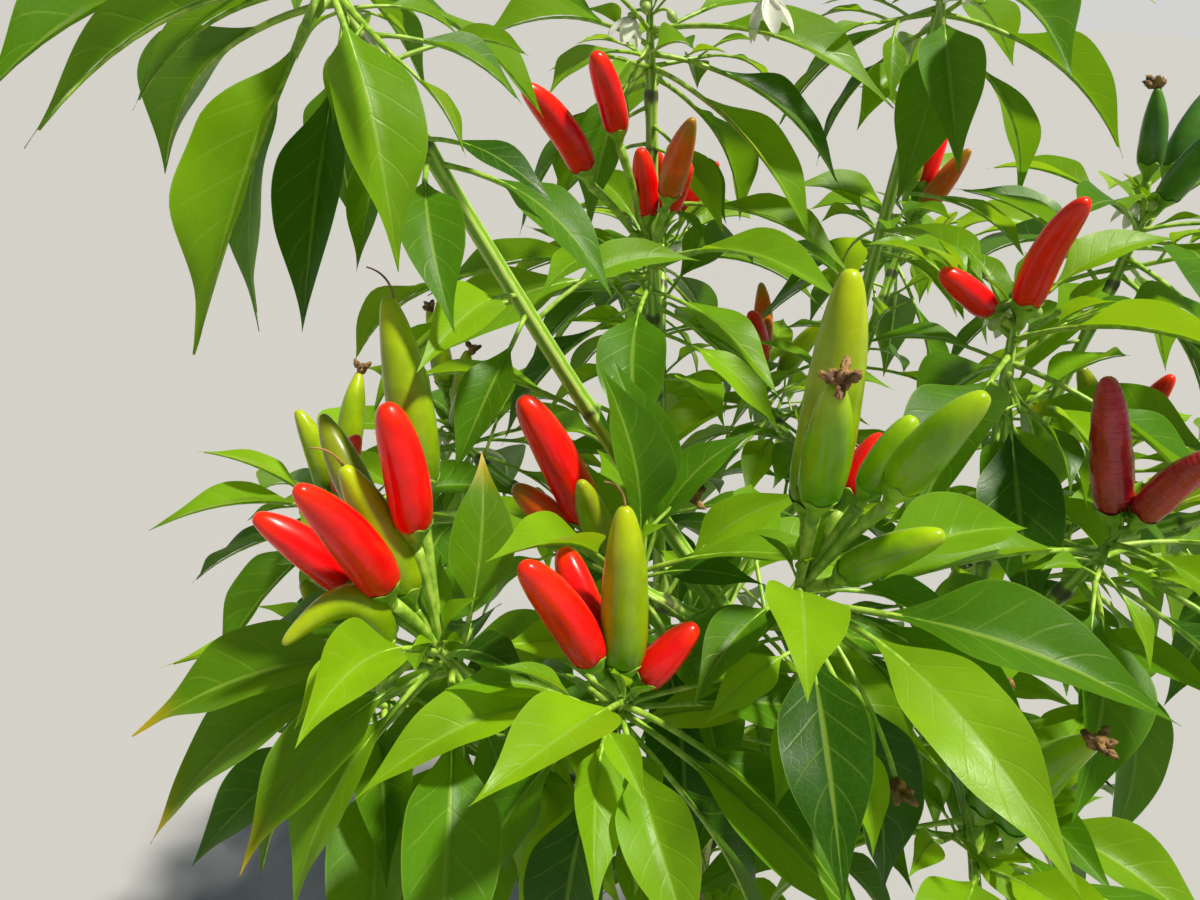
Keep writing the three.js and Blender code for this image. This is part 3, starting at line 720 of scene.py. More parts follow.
class Growth(Net):  # a Geometry Nodes tree with one geometry in and one out, and sizes that can be changed
    def __init__(self, name, sizes):
        super().__init__(bpy.data.node_groups.new(name, "GeometryNodeTree"))
        for way in ("INPUT", "OUTPUT"):
            self.tree.interface.new_socket("Geometry", in_out=way, socket_type="NodeSocketGeometry")
        for key, value in sizes.items():
            kind = "NodeSocketInt" if isinstance(value, int) else "NodeSocketFloat"
            self.tree.interface.new_socket(key, in_out="INPUT", socket_type=kind).default_value = value
        outputs = self.tree.nodes.new("NodeGroupInput").outputs
        self.geometry = Field(self, outputs["Geometry"])
        self.sizes = {key: Field(self, outputs[key]) for key in sizes}

    def own(self, name, kind="FLOAT"):  # an attribute of the geometry
        return self.node("GeometryNodeInputNamedAttribute", {"Name": name}, "Attribute", data_type=kind)

    def axes(self):  # along the growth, across it and over it
        aim, side = self.own("aim", "FLOAT_VECTOR"), self.own("side", "FLOAT_VECTOR")
        return aim, side, self.vector("CROSS_PRODUCT", side, aim)

    def store(self, geometry, name, value, kind="FLOAT", domain="POINT"):
        inputs = {"Geometry": geometry, "Name": name, "Value": value}
        return self.node("GeometryNodeStoreNamedAttribute", inputs, data_type=kind, domain=domain)

    def moved(self, geometry, place):
        return self.node("GeometryNodeSetPosition", {"Geometry": geometry, "Position": place})

    def onEach(self, shape):  # a copy of the shape for each point, made real, with the point's attributes
        copies = self.node("GeometryNodeInstanceOnPoints", {"Points": self.geometry, "Instance": shape})
        return self.node("GeometryNodeRealizeInstances", {"Geometry": copies})

    def sheets(self):  # a flat sheet on each point, with its places s along and v across
        counts = {"Vertices X": self.sizes["Along"], "Vertices Y": self.sizes["Across"]}
        sheet = self.node("GeometryNodeMeshGrid", {"Size X": 1.0, "Size Y": 1.0, **counts})
        place = self.split(self.node("GeometryNodeInputPosition"))
        sheet = self.store(sheet, "s", place.at("X") + 0.5)
        sheet = self.store(sheet, "v", place.at("Y") * -2.0)
        return self.onEach(sheet), self.own("s"), self.own("v")

    def balls(self):  # a ball on each point, with its place t from pole to pole, its turn and its height
        sizes = {"Segments": self.sizes["Segments"], "Rings": self.sizes["Rings"], "Radius": 1.0}
        ball = self.node("GeometryNodeMeshUVSphere", sizes)
        place = self.split(self.node("GeometryNodeInputPosition"))
        height = self.math("MINIMUM", self.math("MAXIMUM", place.at("Z") * -1.0, -1.0), 1.0)
        ball = self.store(ball, "t", self.math("ARCCOSINE", height) / math.pi)
        ball = self.store(ball, "turn", self.math("ARCTAN2", place.at("Y"), place.at("X")))
        t = self.own("t")
        return self.onEach(ball), t, self.own("turn"), 0.5 - 0.5 * self.cosine(t * math.pi)

    def profile(self, value, points):  # a smooth curve through points, drawn in a Float Curve node
        low, high = min(y for _, y in points), max(y for _, y in points)
        made = self.node("ShaderNodeFloatCurve", {"Value": value})
        mapping = made.socket.node.mapping
        while len(mapping.curves[0].points) < len(points):
            mapping.curves[0].points.new(0.5, 0.5)
        for spot, (x, y) in zip(mapping.curves[0].points, points):
            spot.location = (x, (y - low) / (high - low))
        mapping.update()
        return made * (high - low) + low

    def finish(self, geometry, materials):  # smooth, and each tone with its material
        smooth = self.node("GeometryNodeSetShadeSmooth", {0: geometry})
        real = self.node("GeometryNodeRealizeInstances", {"Geometry": smooth})
        for tone, material in enumerate(materials):
            chosen = self.math("COMPARE", self.own("tone"), float(tone), 0.25)
            inputs = {"Geometry": real, "Selection": chosen, "Material": material}
            real = self.node("GeometryNodeSetMaterial", inputs)
        self.node("NodeGroupOutput", {"Geometry": real})
        return self.tree


def addObject(name, data):
    made = bpy.data.objects.new(name, data)
    scene.collection.objects.link(made)
    return made


def toMesh(name, source, tree, values, kept=()):  # the grown shape as a plain mesh in an object of its own
    modifier = source.modifiers.new("growth", "NODES")
    modifier.node_group = tree
    for item in tree.interface.items_tree:
        if item.name in values and item.in_out == "INPUT":
            modifier[item.identifier] = values[item.name]
    grownShape = source.evaluated_get(bpy.context.evaluated_depsgraph_get())
    mesh = bpy.data.meshes.new_from_object(grownShape)
    source.modifiers.clear()
    bpy.data.objects.remove(source)
    kept = (*kept, "material_index", "sharp_face")
    for attribute in [a.name for a in mesh.attributes if not (a.is_internal or a.is_required)]:
        if attribute not in kept:
            mesh.attributes.remove(mesh.attributes[attribute])
    if mesh.materials[0] is None:  # the bare shape's own empty slot
        indices = np.zeros(len(mesh.polygons), np.int32)
        mesh.polygons.foreach_get("material_index", indices)
        mesh.materials.pop(index=0)
        mesh.polygons.foreach_set("material_index", np.maximum(indices - 1, 0))
    mesh.name = name
    return addObject(name, mesh)


def seedPoints(rows, numbers, vectors=("aim", "side", "foot"), edges=()):  # points with a shape's values
    mesh = bpy.data.meshes.new("seeds")
    mesh.from_pydata([tuple(row["root"] * mm) for row in rows], edges, [])
    for kind, field, keys in (("FLOAT", "value", numbers), ("FLOAT_VECTOR", "vector", vectors)):
        for key in keys:
            values = np.array([row[key] for row in rows], np.float32).ravel()
            mesh.attributes.new(key, kind, "POINT").data.foreach_set(field, values)
    return addObject("seeds", mesh)


# Finishes. A row that starts with a noise's scale and detail goes on with its width, or with the start and
# end of its patches and their two values. A pair is where a change starts and ends.


class Skin(Net):  # a material's node tree
    def __init__(self, name):
        self.material = bpy.data.materials.new(name)
        self.material.use_nodes = True
        self.material.node_tree.nodes.clear()
        super().__init__(self.material.node_tree)

    def mark(self, name):  # a share that the mesh carries
        return self.node("ShaderNodeAttribute", {}, "Fac", attribute_name=name)

    def bump(self, height, strength, distance):
        relief = {"Height": height, "Strength": strength, "Distance": distance}
        return self.node("ShaderNodeBump", relief, "Normal")

    def principled(self, surface):
        return self.node("ShaderNodeBsdfPrincipled", surface)

    def glowing(self, share, skin, light):
        return self.node("ShaderNodeMixShader", {0: share, 1: skin, 2: light})

    def finish(self, shader):
        self.node("ShaderNodeOutputMaterial", {"Surface": shader})
        return self.material


leafLooks = {
    "vein": (0.34, 0.52, 0.06, 1.0), "tip": (0.7, 0.45, 0.012, 1.0), "underside": (0.26, 0.42, 0.07, 1.0),
    "undersideShare": 0.4, "veinShare": 0.6,
    "glow": 0.4,  # share of the light that passes through a blade
    "glowTint": 0.8, "gloss": 0.26, "bump": 0.2, "relief": 0.0006,
    # The darker tones are partly painted shade and the paler ones partly painted light, beside the leaves' own
    # greens.
    "tones": {  # blade colour, the colour of the light through it, where a yellow tip starts
        "deep": ((0.024, 0.092, 0.003), (0.12, 0.31, 0.003), 1.2),
        "mid": ((0.068, 0.198, 0.004), (0.26, 0.52, 0.004), 1.2),
        "fresh": ((0.15, 0.325, 0.005), (0.46, 0.74, 0.005), 1.2),
        "lime": ((0.215, 0.42, 0.006), (0.58, 0.86, 0.006), 1.1),
        "tipped": ((0.1, 0.25, 0.004), (0.35, 0.58, 0.005), 0.72),
    },
}
patternSizes = {
    "wander": (90.0, 2.0, 0.03), "lateral": (0.0, 0.22), "lateralFade": (0.7, 0.98),
    # margin: the span of a pale band along the edge, a painted highlight
    "midrib": (0.02, 0.09), "margin": (0.955, 1.0), "cellScale": 420.0, "cellEdge": (0.0, 0.14),
    "shares": {"lateral": 0.42, "margin": 0.55, "network": 0.07}, "blotch": (38.0, 3.0, 0.3, 0.7, 0.84, 1.14),
    "tipDrift": (60.0, 2.0, 0.12), "tipLength": 0.3,
    "heights": {"lateral": -0.6, "midrib": -1.0, "network": -0.1}, "grainScale": 700.0, "grain": 0.14,
    "roughness": (55.0, 2.0, 0.3, 0.7, 0.33, 0.47),
}
toneNames = list(leafLooks["tones"])


def leafPatternGroup():  # veins and blotches over a blade, from its own map
    black = (0.0, 0.0, 0.0, 1.0)
    inputs = {
        "Blade": ("Color", black),
        "Vein": ("Color", black),
        "Tip": ("Color", black),
        "Tip start": ("Float", 1.2),
        "Veins": ("Float", 7.0),
        "Slant": ("Float", 0.2),
    }
    tree = bpy.data.node_groups.new("leafPattern", "ShaderNodeTree")
    for key, (kind, value) in inputs.items():
        socket = tree.interface.new_socket(key, in_out="INPUT", socket_type="NodeSocket" + kind)
        socket.default_value = value
    for key, kind in (("Colour", "Color"), ("Height", "Float"), ("Roughness", "Float")):
        tree.interface.new_socket(key, in_out="OUTPUT", socket_type="NodeSocket" + kind)
    net, sizes = Net(tree), patternSizes
    entry = tree.nodes.new("NodeGroupInput")
    given = {key: Field(net, entry.outputs[key]) for key in inputs}
    bladeMap = net.split(net.node("ShaderNodeUVMap", uv_map="leafMap"))
    along = bladeMap.at("X")
    out = net.math("ABSOLUTE", bladeMap.at("Y") * 2.0 - 1.0)
    place = net.spot()
    count = given["Veins"] * (along - given["Slant"] * out + net.wander(place, *sizes["wander"]))
    wave = net.math("ABSOLUTE", net.sine(count * math.pi))
    lateral = net.ramp(wave, *sizes["lateral"], 1.0, 0.0) * net.ramp(out, *sizes["lateralFade"], 1.0, 0.0)
    midrib = net.ramp(out, *sizes["midrib"], 1.0, 0.0)
    cellInputs = {"Vector": place, "Scale": sizes["cellScale"]}
    cells = net.node("ShaderNodeTexVoronoi", cellInputs, feature="DISTANCE_TO_EDGE")
    network = net.ramp(cells, *sizes["cellEdge"], 1.0, 0.0)
    # the pale margin is a painted highlight along the blade's edge
    forms = {"lateral": lateral, "margin": net.ramp(out, *sizes["margin"]), "network": network}
    veins = midrib
    for key, share in sizes["shares"].items():
        veins = net.math("MAXIMUM", veins, forms[key] * share)
    blade = net.scaled(given["Blade"], net.patches(place, *sizes["blotch"]))
    colour = net.mix(veins * leafLooks["veinShare"], blade, given["Vein"])
    drifted, start = along + net.wander(place, *sizes["tipDrift"]), given["Tip start"]
    colour = net.mix(net.ramp(drifted, start, start + sizes["tipLength"]), colour, given["Tip"])
    heights = sizes["heights"]
    height = lateral * heights["lateral"] + midrib * heights["midrib"] + network * heights["network"]
    height = height + net.noise(place, sizes["grainScale"]) * sizes["grain"]
    rough = net.patches(place, *sizes["roughness"])
    net.node("NodeGroupOutput", {"Colour": colour, "Height": height, "Roughness": rough})
    return tree


def leafMaterial(name, pattern):
    looks = leafLooks
    blade, through, tipStart = looks["tones"][name]
    skin = Skin("leaf_" + name)
    inputs = {"Blade": (*blade, 1.0), "Vein": looks["vein"], "Tip": looks["tip"], "Tip start": tipStart}
    colour = skin.node("ShaderNodeGroup", inputs, node_tree=pattern)
    height, rough = colour.at("Height"), colour.at("Roughness")
    under = skin.node("ShaderNodeNewGeometry", out="Backfacing")
    seen = skin.mix(under * looks["undersideShare"], colour, looks["underside"])
    bump = skin.bump(height, looks["bump"], looks["relief"])
    surface = {"Base Color": seen, "Roughness": rough, "Normal": bump, "Specular IOR Level": looks["gloss"]}
    light = skin.mix(looks["glowTint"], colour, (*through, 1.0))
    glow = skin.node("ShaderNodeBsdfTranslucent", {"Color": light, "Normal": bump})
    return skin.finish(skin.glowing(looks["glow"], skin.principled(surface), glow))


podLooks = {
    "finish": {"gloss": 0.3, "coat": 0.24, "coatRough": 0.06, "bump": 0.12, "pits": 0.06, "wrinkles": 0.0},
    "shrunken": {"gloss": 0.5, "coat": 0.6, "coatRough": 0.22, "bump": 0.7, "pits": 0.25, "wrinkles": 1.1},
    # The darker shoulders are partly painted shade at the pod's foot by the calyx, and the paler tips of all
    # but the amber and wine pods are partly painted light; the rest is ripening colour.
    "ripeness": {  # skin, shoulder, tip
        "red": ((0.95, 0.003, 0.003), (0.76, 0.003, 0.003), (0.98, 0.024, 0.003)),
        "lime": ((0.29, 0.43, 0.003), (0.14, 0.29, 0.003), (0.46, 0.57, 0.006)),
        "green": ((0.2, 0.43, 0.003), (0.1, 0.31, 0.003), (0.36, 0.55, 0.005)),
        "olive": ((0.27, 0.33, 0.008), (0.16, 0.25, 0.006), (0.36, 0.42, 0.01)),
        "amber": ((0.82, 0.1, 0.004), (0.72, 0.04, 0.003), (0.42, 0.19, 0.008)),
        "wine": ((0.62, 0.014, 0.028), (0.42, 0.012, 0.016), (0.5, 0.01, 0.014)),
        "dark": ((0.07, 0.2, 0.02), (0.05, 0.15, 0.016), (0.1, 0.26, 0.02)),
    },
    "drift": (55.0, 3.0, 0.24), "shoulder": (0.02, 0.4), "tip": (0.62, 1.0),
    "blush": (42.0, 2.0, 0.48, 0.7, 0.0, 0.6), "mottle": (160.0, 3.0, 0.35, 0.65, 0.88, 1.06),
    "pitScale": 900.0, "dentScale": 130.0,
    "wrinkleScale": (30.0, 45.0),  # along the pod and across it
    "relief": 0.001, "roughness": (0.3, 0.7, 0.24, 0.36),
    "softness": {
        "Subsurface Weight": 0.06, "Subsurface Radius": (0.9, 0.35, 0.15), "Subsurface Scale": 0.002,
    },
}
ripenessNames = list(podLooks["ripeness"])


def podMaterial(name):
    sizes, looks = podLooks, podLooks["shrunken" if name == "wine" else "finish"]
    base, shoulder, tip = [(*colour, 1.0) for colour in podLooks["ripeness"][name]]
    skin = Skin("pod_" + name)
    place, along = skin.spot(), skin.mark("podShare")
    drifted = along + skin.wander(place, *sizes["drift"])
    # darker towards the calyx, partly painted shade; paler towards the tip on most pods, partly painted light
    colour = skin.mix(skin.ramp(drifted, *sizes["shoulder"], 1.0, 0.0), base, shoulder)
    colour = skin.mix(skin.ramp(drifted, *sizes["tip"]), colour, tip)
    colour = skin.mix(skin.patches(place, *sizes["blush"]), colour, tip)
    colour = skin.scaled(colour, skin.patches(place, *sizes["mottle"]))
    dents = skin.noise(place, sizes["dentScale"])
    long, across = sizes["wrinkleScale"]
    crossed = skin.joined(along * long) + place * across
    height = dents + skin.noise(place, sizes["pitScale"]) * looks["pits"]
    height = height + skin.noise(crossed, 1.0) * looks["wrinkles"]
    surface = {
        "Base Color": colour,
        "Roughness": skin.ramp(dents, *sizes["roughness"]),
        "Normal": skin.bump(height, looks["bump"], sizes["relief"]),
        "Specular IOR Level": looks["gloss"],
        "Coat Weight": looks["coat"],
        "Coat Roughness": looks["coatRough"],
    }
    return skin.finish(skin.principled({**surface, **sizes["softness"]}))


stemLooks = {
    "green": (0.18, 0.38, 0.02, 1.0), "stripe": (0.48, 0.64, 0.12, 1.0), "wood": (0.20, 0.135, 0.07, 1.0),
    "woodPale": (0.36, 0.28, 0.17, 1.0), "woodDark": (0.075, 0.047, 0.026, 1.0),
    "joint": (0.028, 0.018, 0.026, 1.0), "jointShare": 0.85, "fineScale": 340.0, "longScale": 420.0,
    "drawnOut": (1.0, 1.0, 0.16), "stripes": (0.3, 0.8), "darkBark": (0.35, 0.6), "paleBark": (0.52, 0.7),
    "woodStart": (0.3, 0.7), "jointStart": (0.42, 0.85), "heights": (0.7, 0.3), "bump": 0.5,
    "relief": 0.0006, "roughness": (0.2, 0.8, 0.42, 0.86),
}


def stemMaterial():  # green with pale stripes, woody towards the ground, dark at the joints
    looks, skin = stemLooks, Skin("stem_skin")
    place, wood, joint, rib = skin.spot(), skin.mark("wood"), skin.mark("joint"), skin.mark("rib")
    fine = skin.noise(place, looks["fineScale"], 4.0)
    long = skin.noise(place * looks["drawnOut"], looks["longScale"], 3.0)
    stripes = skin.ramp(rib + (long - 0.5) * 0.9, *looks["stripes"])
    green = skin.mix(stripes, looks["green"], looks["stripe"])
    bark = skin.mix(skin.ramp(long, *looks["darkBark"]), looks["woodDark"], looks["wood"])
    bark = skin.mix(skin.ramp(fine, *looks["paleBark"]), bark, looks["woodPale"])
    colour = skin.mix(skin.ramp(wood + (fine - 0.5) * 0.5, *looks["woodStart"]), green, bark)
    dark = skin.ramp(joint + (fine - 0.5) * 0.7, *looks["jointStart"])
    colour = skin.mix(dark * looks["jointShare"], colour, looks["joint"])
    height = long * looks["heights"][0] + fine * looks["heights"][1]
    bump = skin.bump(height, looks["bump"], looks["relief"])
    surface = {"Base Color": colour, "Roughness": skin.ramp(wood, *looks["roughness"]), "Normal": bump}
    return skin.finish(skin.principled(surface))


plainLooks = {
    "scale": 260.0, "mixed": (0.35, 0.65), "rough": (0.3, 0.7), "spread": 0.06, "bump": 0.25,
    "relief": 0.0004,
}


def plainSkin(name, low, high, roughness, glow=0.0):  # two shades that drift into each other
    looks, skin = plainLooks, Skin(name)
    drift = skin.noise(skin.spot(), looks["scale"], 3.0)
    colour = skin.mix(skin.ramp(drift, *looks["mixed"]), (*low, 1.0), (*high, 1.0))
    rough = skin.ramp(drift, *looks["rough"], roughness - looks["spread"], roughness + looks["spread"])
    bump = skin.bump(drift, looks["bump"], looks["relief"])
    shader = skin.principled({"Base Color": colour, "Roughness": rough, "Normal": bump})
    if glow:
        shader = skin.glowing(glow, shader, skin.node("ShaderNodeBsdfTranslucent", {"Color": colour}))
    return skin.finish(shader)


leafPattern = leafPatternGroup()
leafMaterials = [leafMaterial(name, leafPattern) for name in toneNames]
podMaterials = [podMaterial(name) for name in ripenessNames]
stemSkin = stemMaterial()
stalkSkin = plainSkin("stalk_skin", (0.2, 0.39, 0.02), (0.4, 0.58, 0.07), 0.42)
calyxSkin = plainSkin("calyx_skin", (0.15, 0.34, 0.015), (0.32, 0.52, 0.04), 0.45)
petalSkin = plainSkin("petal_skin", (0.84, 0.84, 0.7), (0.93, 0.93, 0.84), 0.5, 0.35)
budSkin = plainSkin("bud_skin", (0.22, 0.4, 0.05), (0.42, 0.55, 0.14), 0.45)
antherSkin = plainSkin("anther_skin", (0.12, 0.13, 0.16), (0.45, 0.42, 0.3), 0.6)
drySkin = plainSkin("dry_skin", (0.1, 0.045, 0.015), (0.4, 0.23, 0.08), 0.8)
print("finishes:", len(bpy.data.materials))

# Leaves

bladeShape = {
    "Along": 34, "Across": 12, "Petiole share": leafSizes["petioleShare"], "Arch": leafSizes["arch"],
    "Fold": leafSizes["fold"], "Veins": 7.0, "Vein slant": 0.2,
    "Vein depth": 0.014,  # share of the half width
    "Waves": 2.4,
}
smallBlade = {**bladeShape, "Along": 18, "Across": 8}
bladeOutline = {"fullness": 0.8, "foot": 0.38, "footEnd": 0.33, "tip": 0.52, "tipStart": 0.58, "least": 0.004}
bladeRelief = {
    "ease": (0.004, 0.06),  # rounds the fold beside the midrib
    "waveSlant": 1.5, "waveIn": (0.0, 0.2), "waveOut": (0.8, 1.0, 1.0, 0.3), "bulge": 0.6,
    "straight": 0.3,  # where along the blade its twist is nought
}
bladeChance = {"width": (0.78, 1.0), "fold": (0.9, 3.4), "twist": 0.5, "wave": (0.015, 0.07)}


def leafSpot(net, u, across, rise, twist):  # the same places as in leafBody, in metres
    aim, side, over = net.axes()
    reach = net.own("reach")
    bow = reach * 2.0 * u * (1.0 - u)
    roll = net.own("roll") + twist
    c, s = net.cosine(roll), net.sine(roll)
    onAxis = net.own("foot", "FLOAT_VECTOR") + aim * (reach * u) + over * (bow * net.sizes["Arch"])
    onAxis = onAxis + side * (bow * net.own("sway"))
    return onAxis + (side * c - over * s) * across + (over * c + side * s) * rise


def bladeTree(name, materials):
    net = Growth(name, bladeShape)
    sizes, shape, relief, half = net.sizes, bladeOutline, bladeRelief, net.own("half")
    blades, s, v = net.sheets()
    edge = net.math("ABSOLUTE", v)
    outline = net.sine(net.math("POWER", s, shape["fullness"]) * math.pi)  # narrow foot, long fine tip
    outline = outline * net.ramp(s, 0.0, shape["footEnd"], shape["foot"], 1.0)
    outline = outline * net.ramp(s, shape["tipStart"], 1.0, 1.0, 1.0 - shape["tip"])
    across = v * half * net.math("MAXIMUM", outline, shape["least"])
    easing, drop = relief["ease"]
    eased = net.math("SQRT", across * across + half * half * easing) - half * drop
    wave = net.sine(s * (sizes["Waves"] * 2 * math.pi) + net.own("phase") + v * relief["waveSlant"])
    ripple = wave * net.own("wave") * half * edge * edge
    ripple = ripple * net.ramp(s, *relief["waveIn"]) * net.ramp(s, *relief["waveOut"])
    bulge = net.sine((s - sizes["Vein slant"] * edge) * sizes["Veins"] * math.pi)
    bulge = net.math("POWER", net.math("ABSOLUTE", bulge), relief["bulge"])
    quilt = bulge * sizes["Vein depth"] * half * (1.0 - edge * edge)
    rise = eased * sizes["Fold"] * net.own("fold") + ripple + quilt
    u = sizes["Petiole share"] + s * (1.0 - sizes["Petiole share"])
    twist = net.own("twist") * (s - relief["straight"])
    blades = net.moved(blades, leafSpot(net, u, across, rise, twist))
    bladeMap = net.joined(s, (v + 1.0) * 0.5)
    return net.finish(net.store(blades, "leafMap", bladeMap, "FLOAT2", "CORNER"), materials)


def dressLeaf(leaf, seed):  # what the fine blade needs beside the rule's own values
    aim, side, _ = leafFrame(leaf)
    luck, width = bladeChance, leafSizes["width"]
    return {
        **leaf,
        "aim": aim,
        "side": side,
        "foot": leaf["root"] * mm,
        "reach": leaf["reach"] * mm,
        "half": leaf["reach"] * width / 2 * between(*luck["width"], chance(seed, 0.11)) * mm,
        "fold": between(*luck["fold"], chance(seed, 0.51)),
        "roll": math.radians(leaf["roll"]),
        "twist": luck["twist"] * (chance(seed, 0.21) - 0.5),
        "wave": between(*luck["wave"], chance(seed, 0.31)),
        "phase": 6.3 * chance(seed, 0.41),
        "tone": float(toneNames.index(leaf["tone"])),
    }


def growBlades(name, leaves, tree, values):
    rows = [dressLeaf(leaf, seed) for seed, leaf in enumerate(leaves, 1)]
    numbers = ("reach", "half", "fold", "roll", "sway", "twist", "wave", "phase", "tone")
    return toMesh(name, seedPoints(rows, numbers), tree, values, ["leafMap"])


# Everything that follows a path: boughs, shoots, twigs, petioles with midribs, pod stalks

tubeShape = {"Sides": 16, "Ribs": 5, "Rib depth": 0.06, "Relief": 0.00025, "Relief scale": 0.4}
barkRelief = {"base": 0.6, "wood": 3.0, "joint": 3.0}
jointShape = {
    "swelling": 0.32, "reach": 5.5, "darkReach": 5.0,
    "lower": (0.46, 0.87),  # joints further down a bough that carries a tuft
    "lowerReach": 0.7, "lowerSwelling": 0.45, "lowerDark": 0.75, "woodTop": 190, "woodFade": 190,
    "shootSteps": 8, "shootAhead": 0.6, "knots": 0.12, "knotTurn": 7, "knotDark": 0.35,
}
ribShape = {
    "petiole": 1.0, "end": 0.2, "taper": 0.8, "foot": 1.5, "footLength": 12, "reachForFull": 92,
    "power": 0.6, "last": 0.95, "crowding": 1.15, "sink": 0.62, "dark": 0.25,
}
stalkShape = {"steps": 9, "radius": (1.25, 1.95), "widening": 1.6, "short": 1.1, "bow": 0.03, "bend": 3}
twigDark = 0.5


def tubeTree(name, material):
    net = Growth(name, tubeShape)
    sizes = net.sizes
    curves = net.node("GeometryNodeMeshToCurve", {"Mesh": net.geometry})
    ring = net.node("GeometryNodeCurvePrimitiveCircle", {"Resolution": sizes["Sides"], "Radius": 1.0})
    place = net.node("GeometryNodeInputPosition")
    parts = net.split(place)
    rib = net.cosine(net.math("ARCTAN2", parts.at("Y"), parts.at("X")) * sizes["Ribs"])
    ring = net.moved(net.store(ring, "rib", rib * 0.5 + 0.5), place * (1.0 + rib * sizes["Rib depth"]))
    inputs = {"Curve": curves, "Profile Curve": ring, "Scale": net.own("radius"), "Fill Caps": True}
    tubes = net.node("GeometryNodeCurveToMesh", inputs)
    rough = net.noise(place * (1.0 / mm), sizes["Relief scale"], 3.0) - 0.5
    share = net.own("wood") * barkRelief["wood"] + net.own("joint") * barkRelief["joint"] + barkRelief["base"]
    offset = net.node("GeometryNodeInputNormal") * (rough * sizes["Relief"] * share)
    return net.finish(net.node("GeometryNodeSetPosition", {"Geometry": tubes, "Offset": offset}), [material])


def growTubes(name, paths, material, values):
    rows = [{**row, "radius": row["radius"] * mm} for path in paths for row in path]
    edges, start = [], 0
    for path in paths:
        edges += [(start + i, start + i + 1) for i in range(len(path) - 1)]
        start += len(path)
    seeds = seedPoints(rows, ("radius", "wood", "joint"), (), edges)
    tree = tubeTree(name + "_growth", material)
    return toMesh(name, seeds, tree, {**tubeShape, **values}, ["wood", "joint", "rib"])


def pathRow(root, radius, wood=0.0, joint=0.0):
    return {"root": root, "radius": radius, "wood": wood, "joint": joint}


def fading(distance, reach):  # 1 at the place itself, less away from it
    return math.exp(-((distance / reach) ** 2))


def limbPath(limb, steps):  # a bough with its swollen joints, and its shoot if it carries one
    path, shape, sizes = limb["path"], jointShape, limbSizes
    length = np.linalg.norm(path[2] - path[0])
    tuft = tufts.get(limb["name"][3:]) if limb["name"].startswith("to_") else None
    rows = []
    for share in shares(steps):
        ends = (share * length, (1 - share) * length)
        near = sum(fading(end, shape["reach"]) for end in ends)
        dark = max(fading(end, shape["darkReach"]) for end in ends)
        if tuft:
            reach = shape["lowerReach"] * shape["reach"]
            lower = max(fading((share - spot) * length, reach) for spot in shape["lower"])
            near += lower * shape["lowerSwelling"]
            dark = max(dark, shape["lowerDark"] * lower)
        centre = bezier(path, share)
        radius = between(limb["root"], limb["tip"], share) * (1 + shape["swelling"] * near)
        wood = min(1.0, max(0.0, 1 - (centre[2] - shape["woodTop"]) / shape["woodFade"]))
        rows.append(pathRow(centre, radius, wood, dark))
    for i, share in enumerate(shares(shape["shootSteps"]) if tuft else ()):
        reach = (tuft["shoot"] + sizes["shootRadius"] * shape["shootAhead"]) * share
        radius = between(sizes["shootRadius"], sizes["shootTipRadius"], share)
        radius *= 1 + shape["knots"] * math.sin(shape["knotTurn"] * i)
        dark = shape["knotDark"] * chance(len(limb["name"]) - 3, i)
        if i:
            rows.append(pathRow(tuft["foot"] + tuft["lean"] * reach, radius, joint=dark))
    return rows


def twigPath(start, end):
    radii = fineGrowth["twigRadius"]
    rows = [pathRow(start + (end - start) * share, between(*radii, share)) for share in shares(7)]
    rows[0]["joint"] = twigDark
    return rows


def ribPath(leaf, steps):  # the petiole, and the midrib under the blade
    shape, petiole, normal = ribShape, leafSizes["petioleShare"], leafAxes(leaf)[1]
    size = (leaf["reach"] / shape["reachForFull"]) ** shape["power"]
    rows = []
    for share in shares(steps):
        u = shape["last"] * share ** shape["crowding"]
        onBlade = max(0.0, (u - petiole) / (1 - petiole))
        radius = between(shape["petiole"], shape["end"], onBlade ** shape["taper"]) * size
        radius *= between(shape["foot"], 1, min(1.0, u * shape["footLength"]))
        below = normal * radius * shape["sink"] * min(1.0, u / petiole)
        rows.append(pathRow(leafAxis(leaf, u) - below, radius))
    rows[0]["joint"] = shape["dark"]
    return rows


def stalkPath(pod):  # from the shoot to the calyx, widening towards it
    aim, _, over = leafFrame(pod)
    shape = stalkShape
    short = podLengths(pod)[1] * shape["short"]
    rows = []
    for share in shares(shape["steps"]):
        centre = pod["root"] + aim * ((pod["stalk"] - short) * share)
        centre = centre - over * pod["bend"] * 4 * short * share ** shape["bend"]
        centre = centre + up * shape["bow"] * pod["stalk"] * math.sin(math.pi * share)
        rows.append(pathRow(centre, between(*shape["radius"], share ** shape["widening"])))
    return rows


# Pods

podShape = {"Segments": 26, "Rings": 24, "Lump": 0.07, "Dent": 0.02, "Crease": 0.015}
podProfiles = {  # share of the girth at shares of the length
    "slim": (
        (0, 0), (0.01, 0.5), (0.04, 0.8), (0.13, 0.96), (0.3, 1), (0.52, 0.92), (0.74, 0.69), (0.9, 0.42),
        (0.97, 0.27), (1, 0),
    ),
    "blunt": (
        (0, 0), (0.01, 0.52), (0.04, 0.82), (0.15, 0.97), (0.36, 1), (0.62, 0.96), (0.83, 0.8), (0.945, 0.55),
        (1, 0),
    ),
}
podRelief = {  # width and length of the noise's cylinder, step from pod to pod, then scale and detail
    "lump": (0.7, 1.8, 9.0), "lumpNoise": (1.3, 1.0), "dentNoise": (4.2, 1.0), "wrinkle": (2.6, 3.2, 7.0),
    "wrinkleNoise": (1.6, 3.0), "folds": 3.0,
}
podChance = {"girth": (0.94, 1.04), "hook": 0.2, "blunt": 0.65, "ripeBlunt": 0.35, "wrinkle": (0.014, 0.42)}
podNumbers = ("length", "girth", "bend", "hook", "blunt", "wrinkle", "phase")
cupShape = {"Segments": 30, "Rings": 16, "Tooth": 0.16}
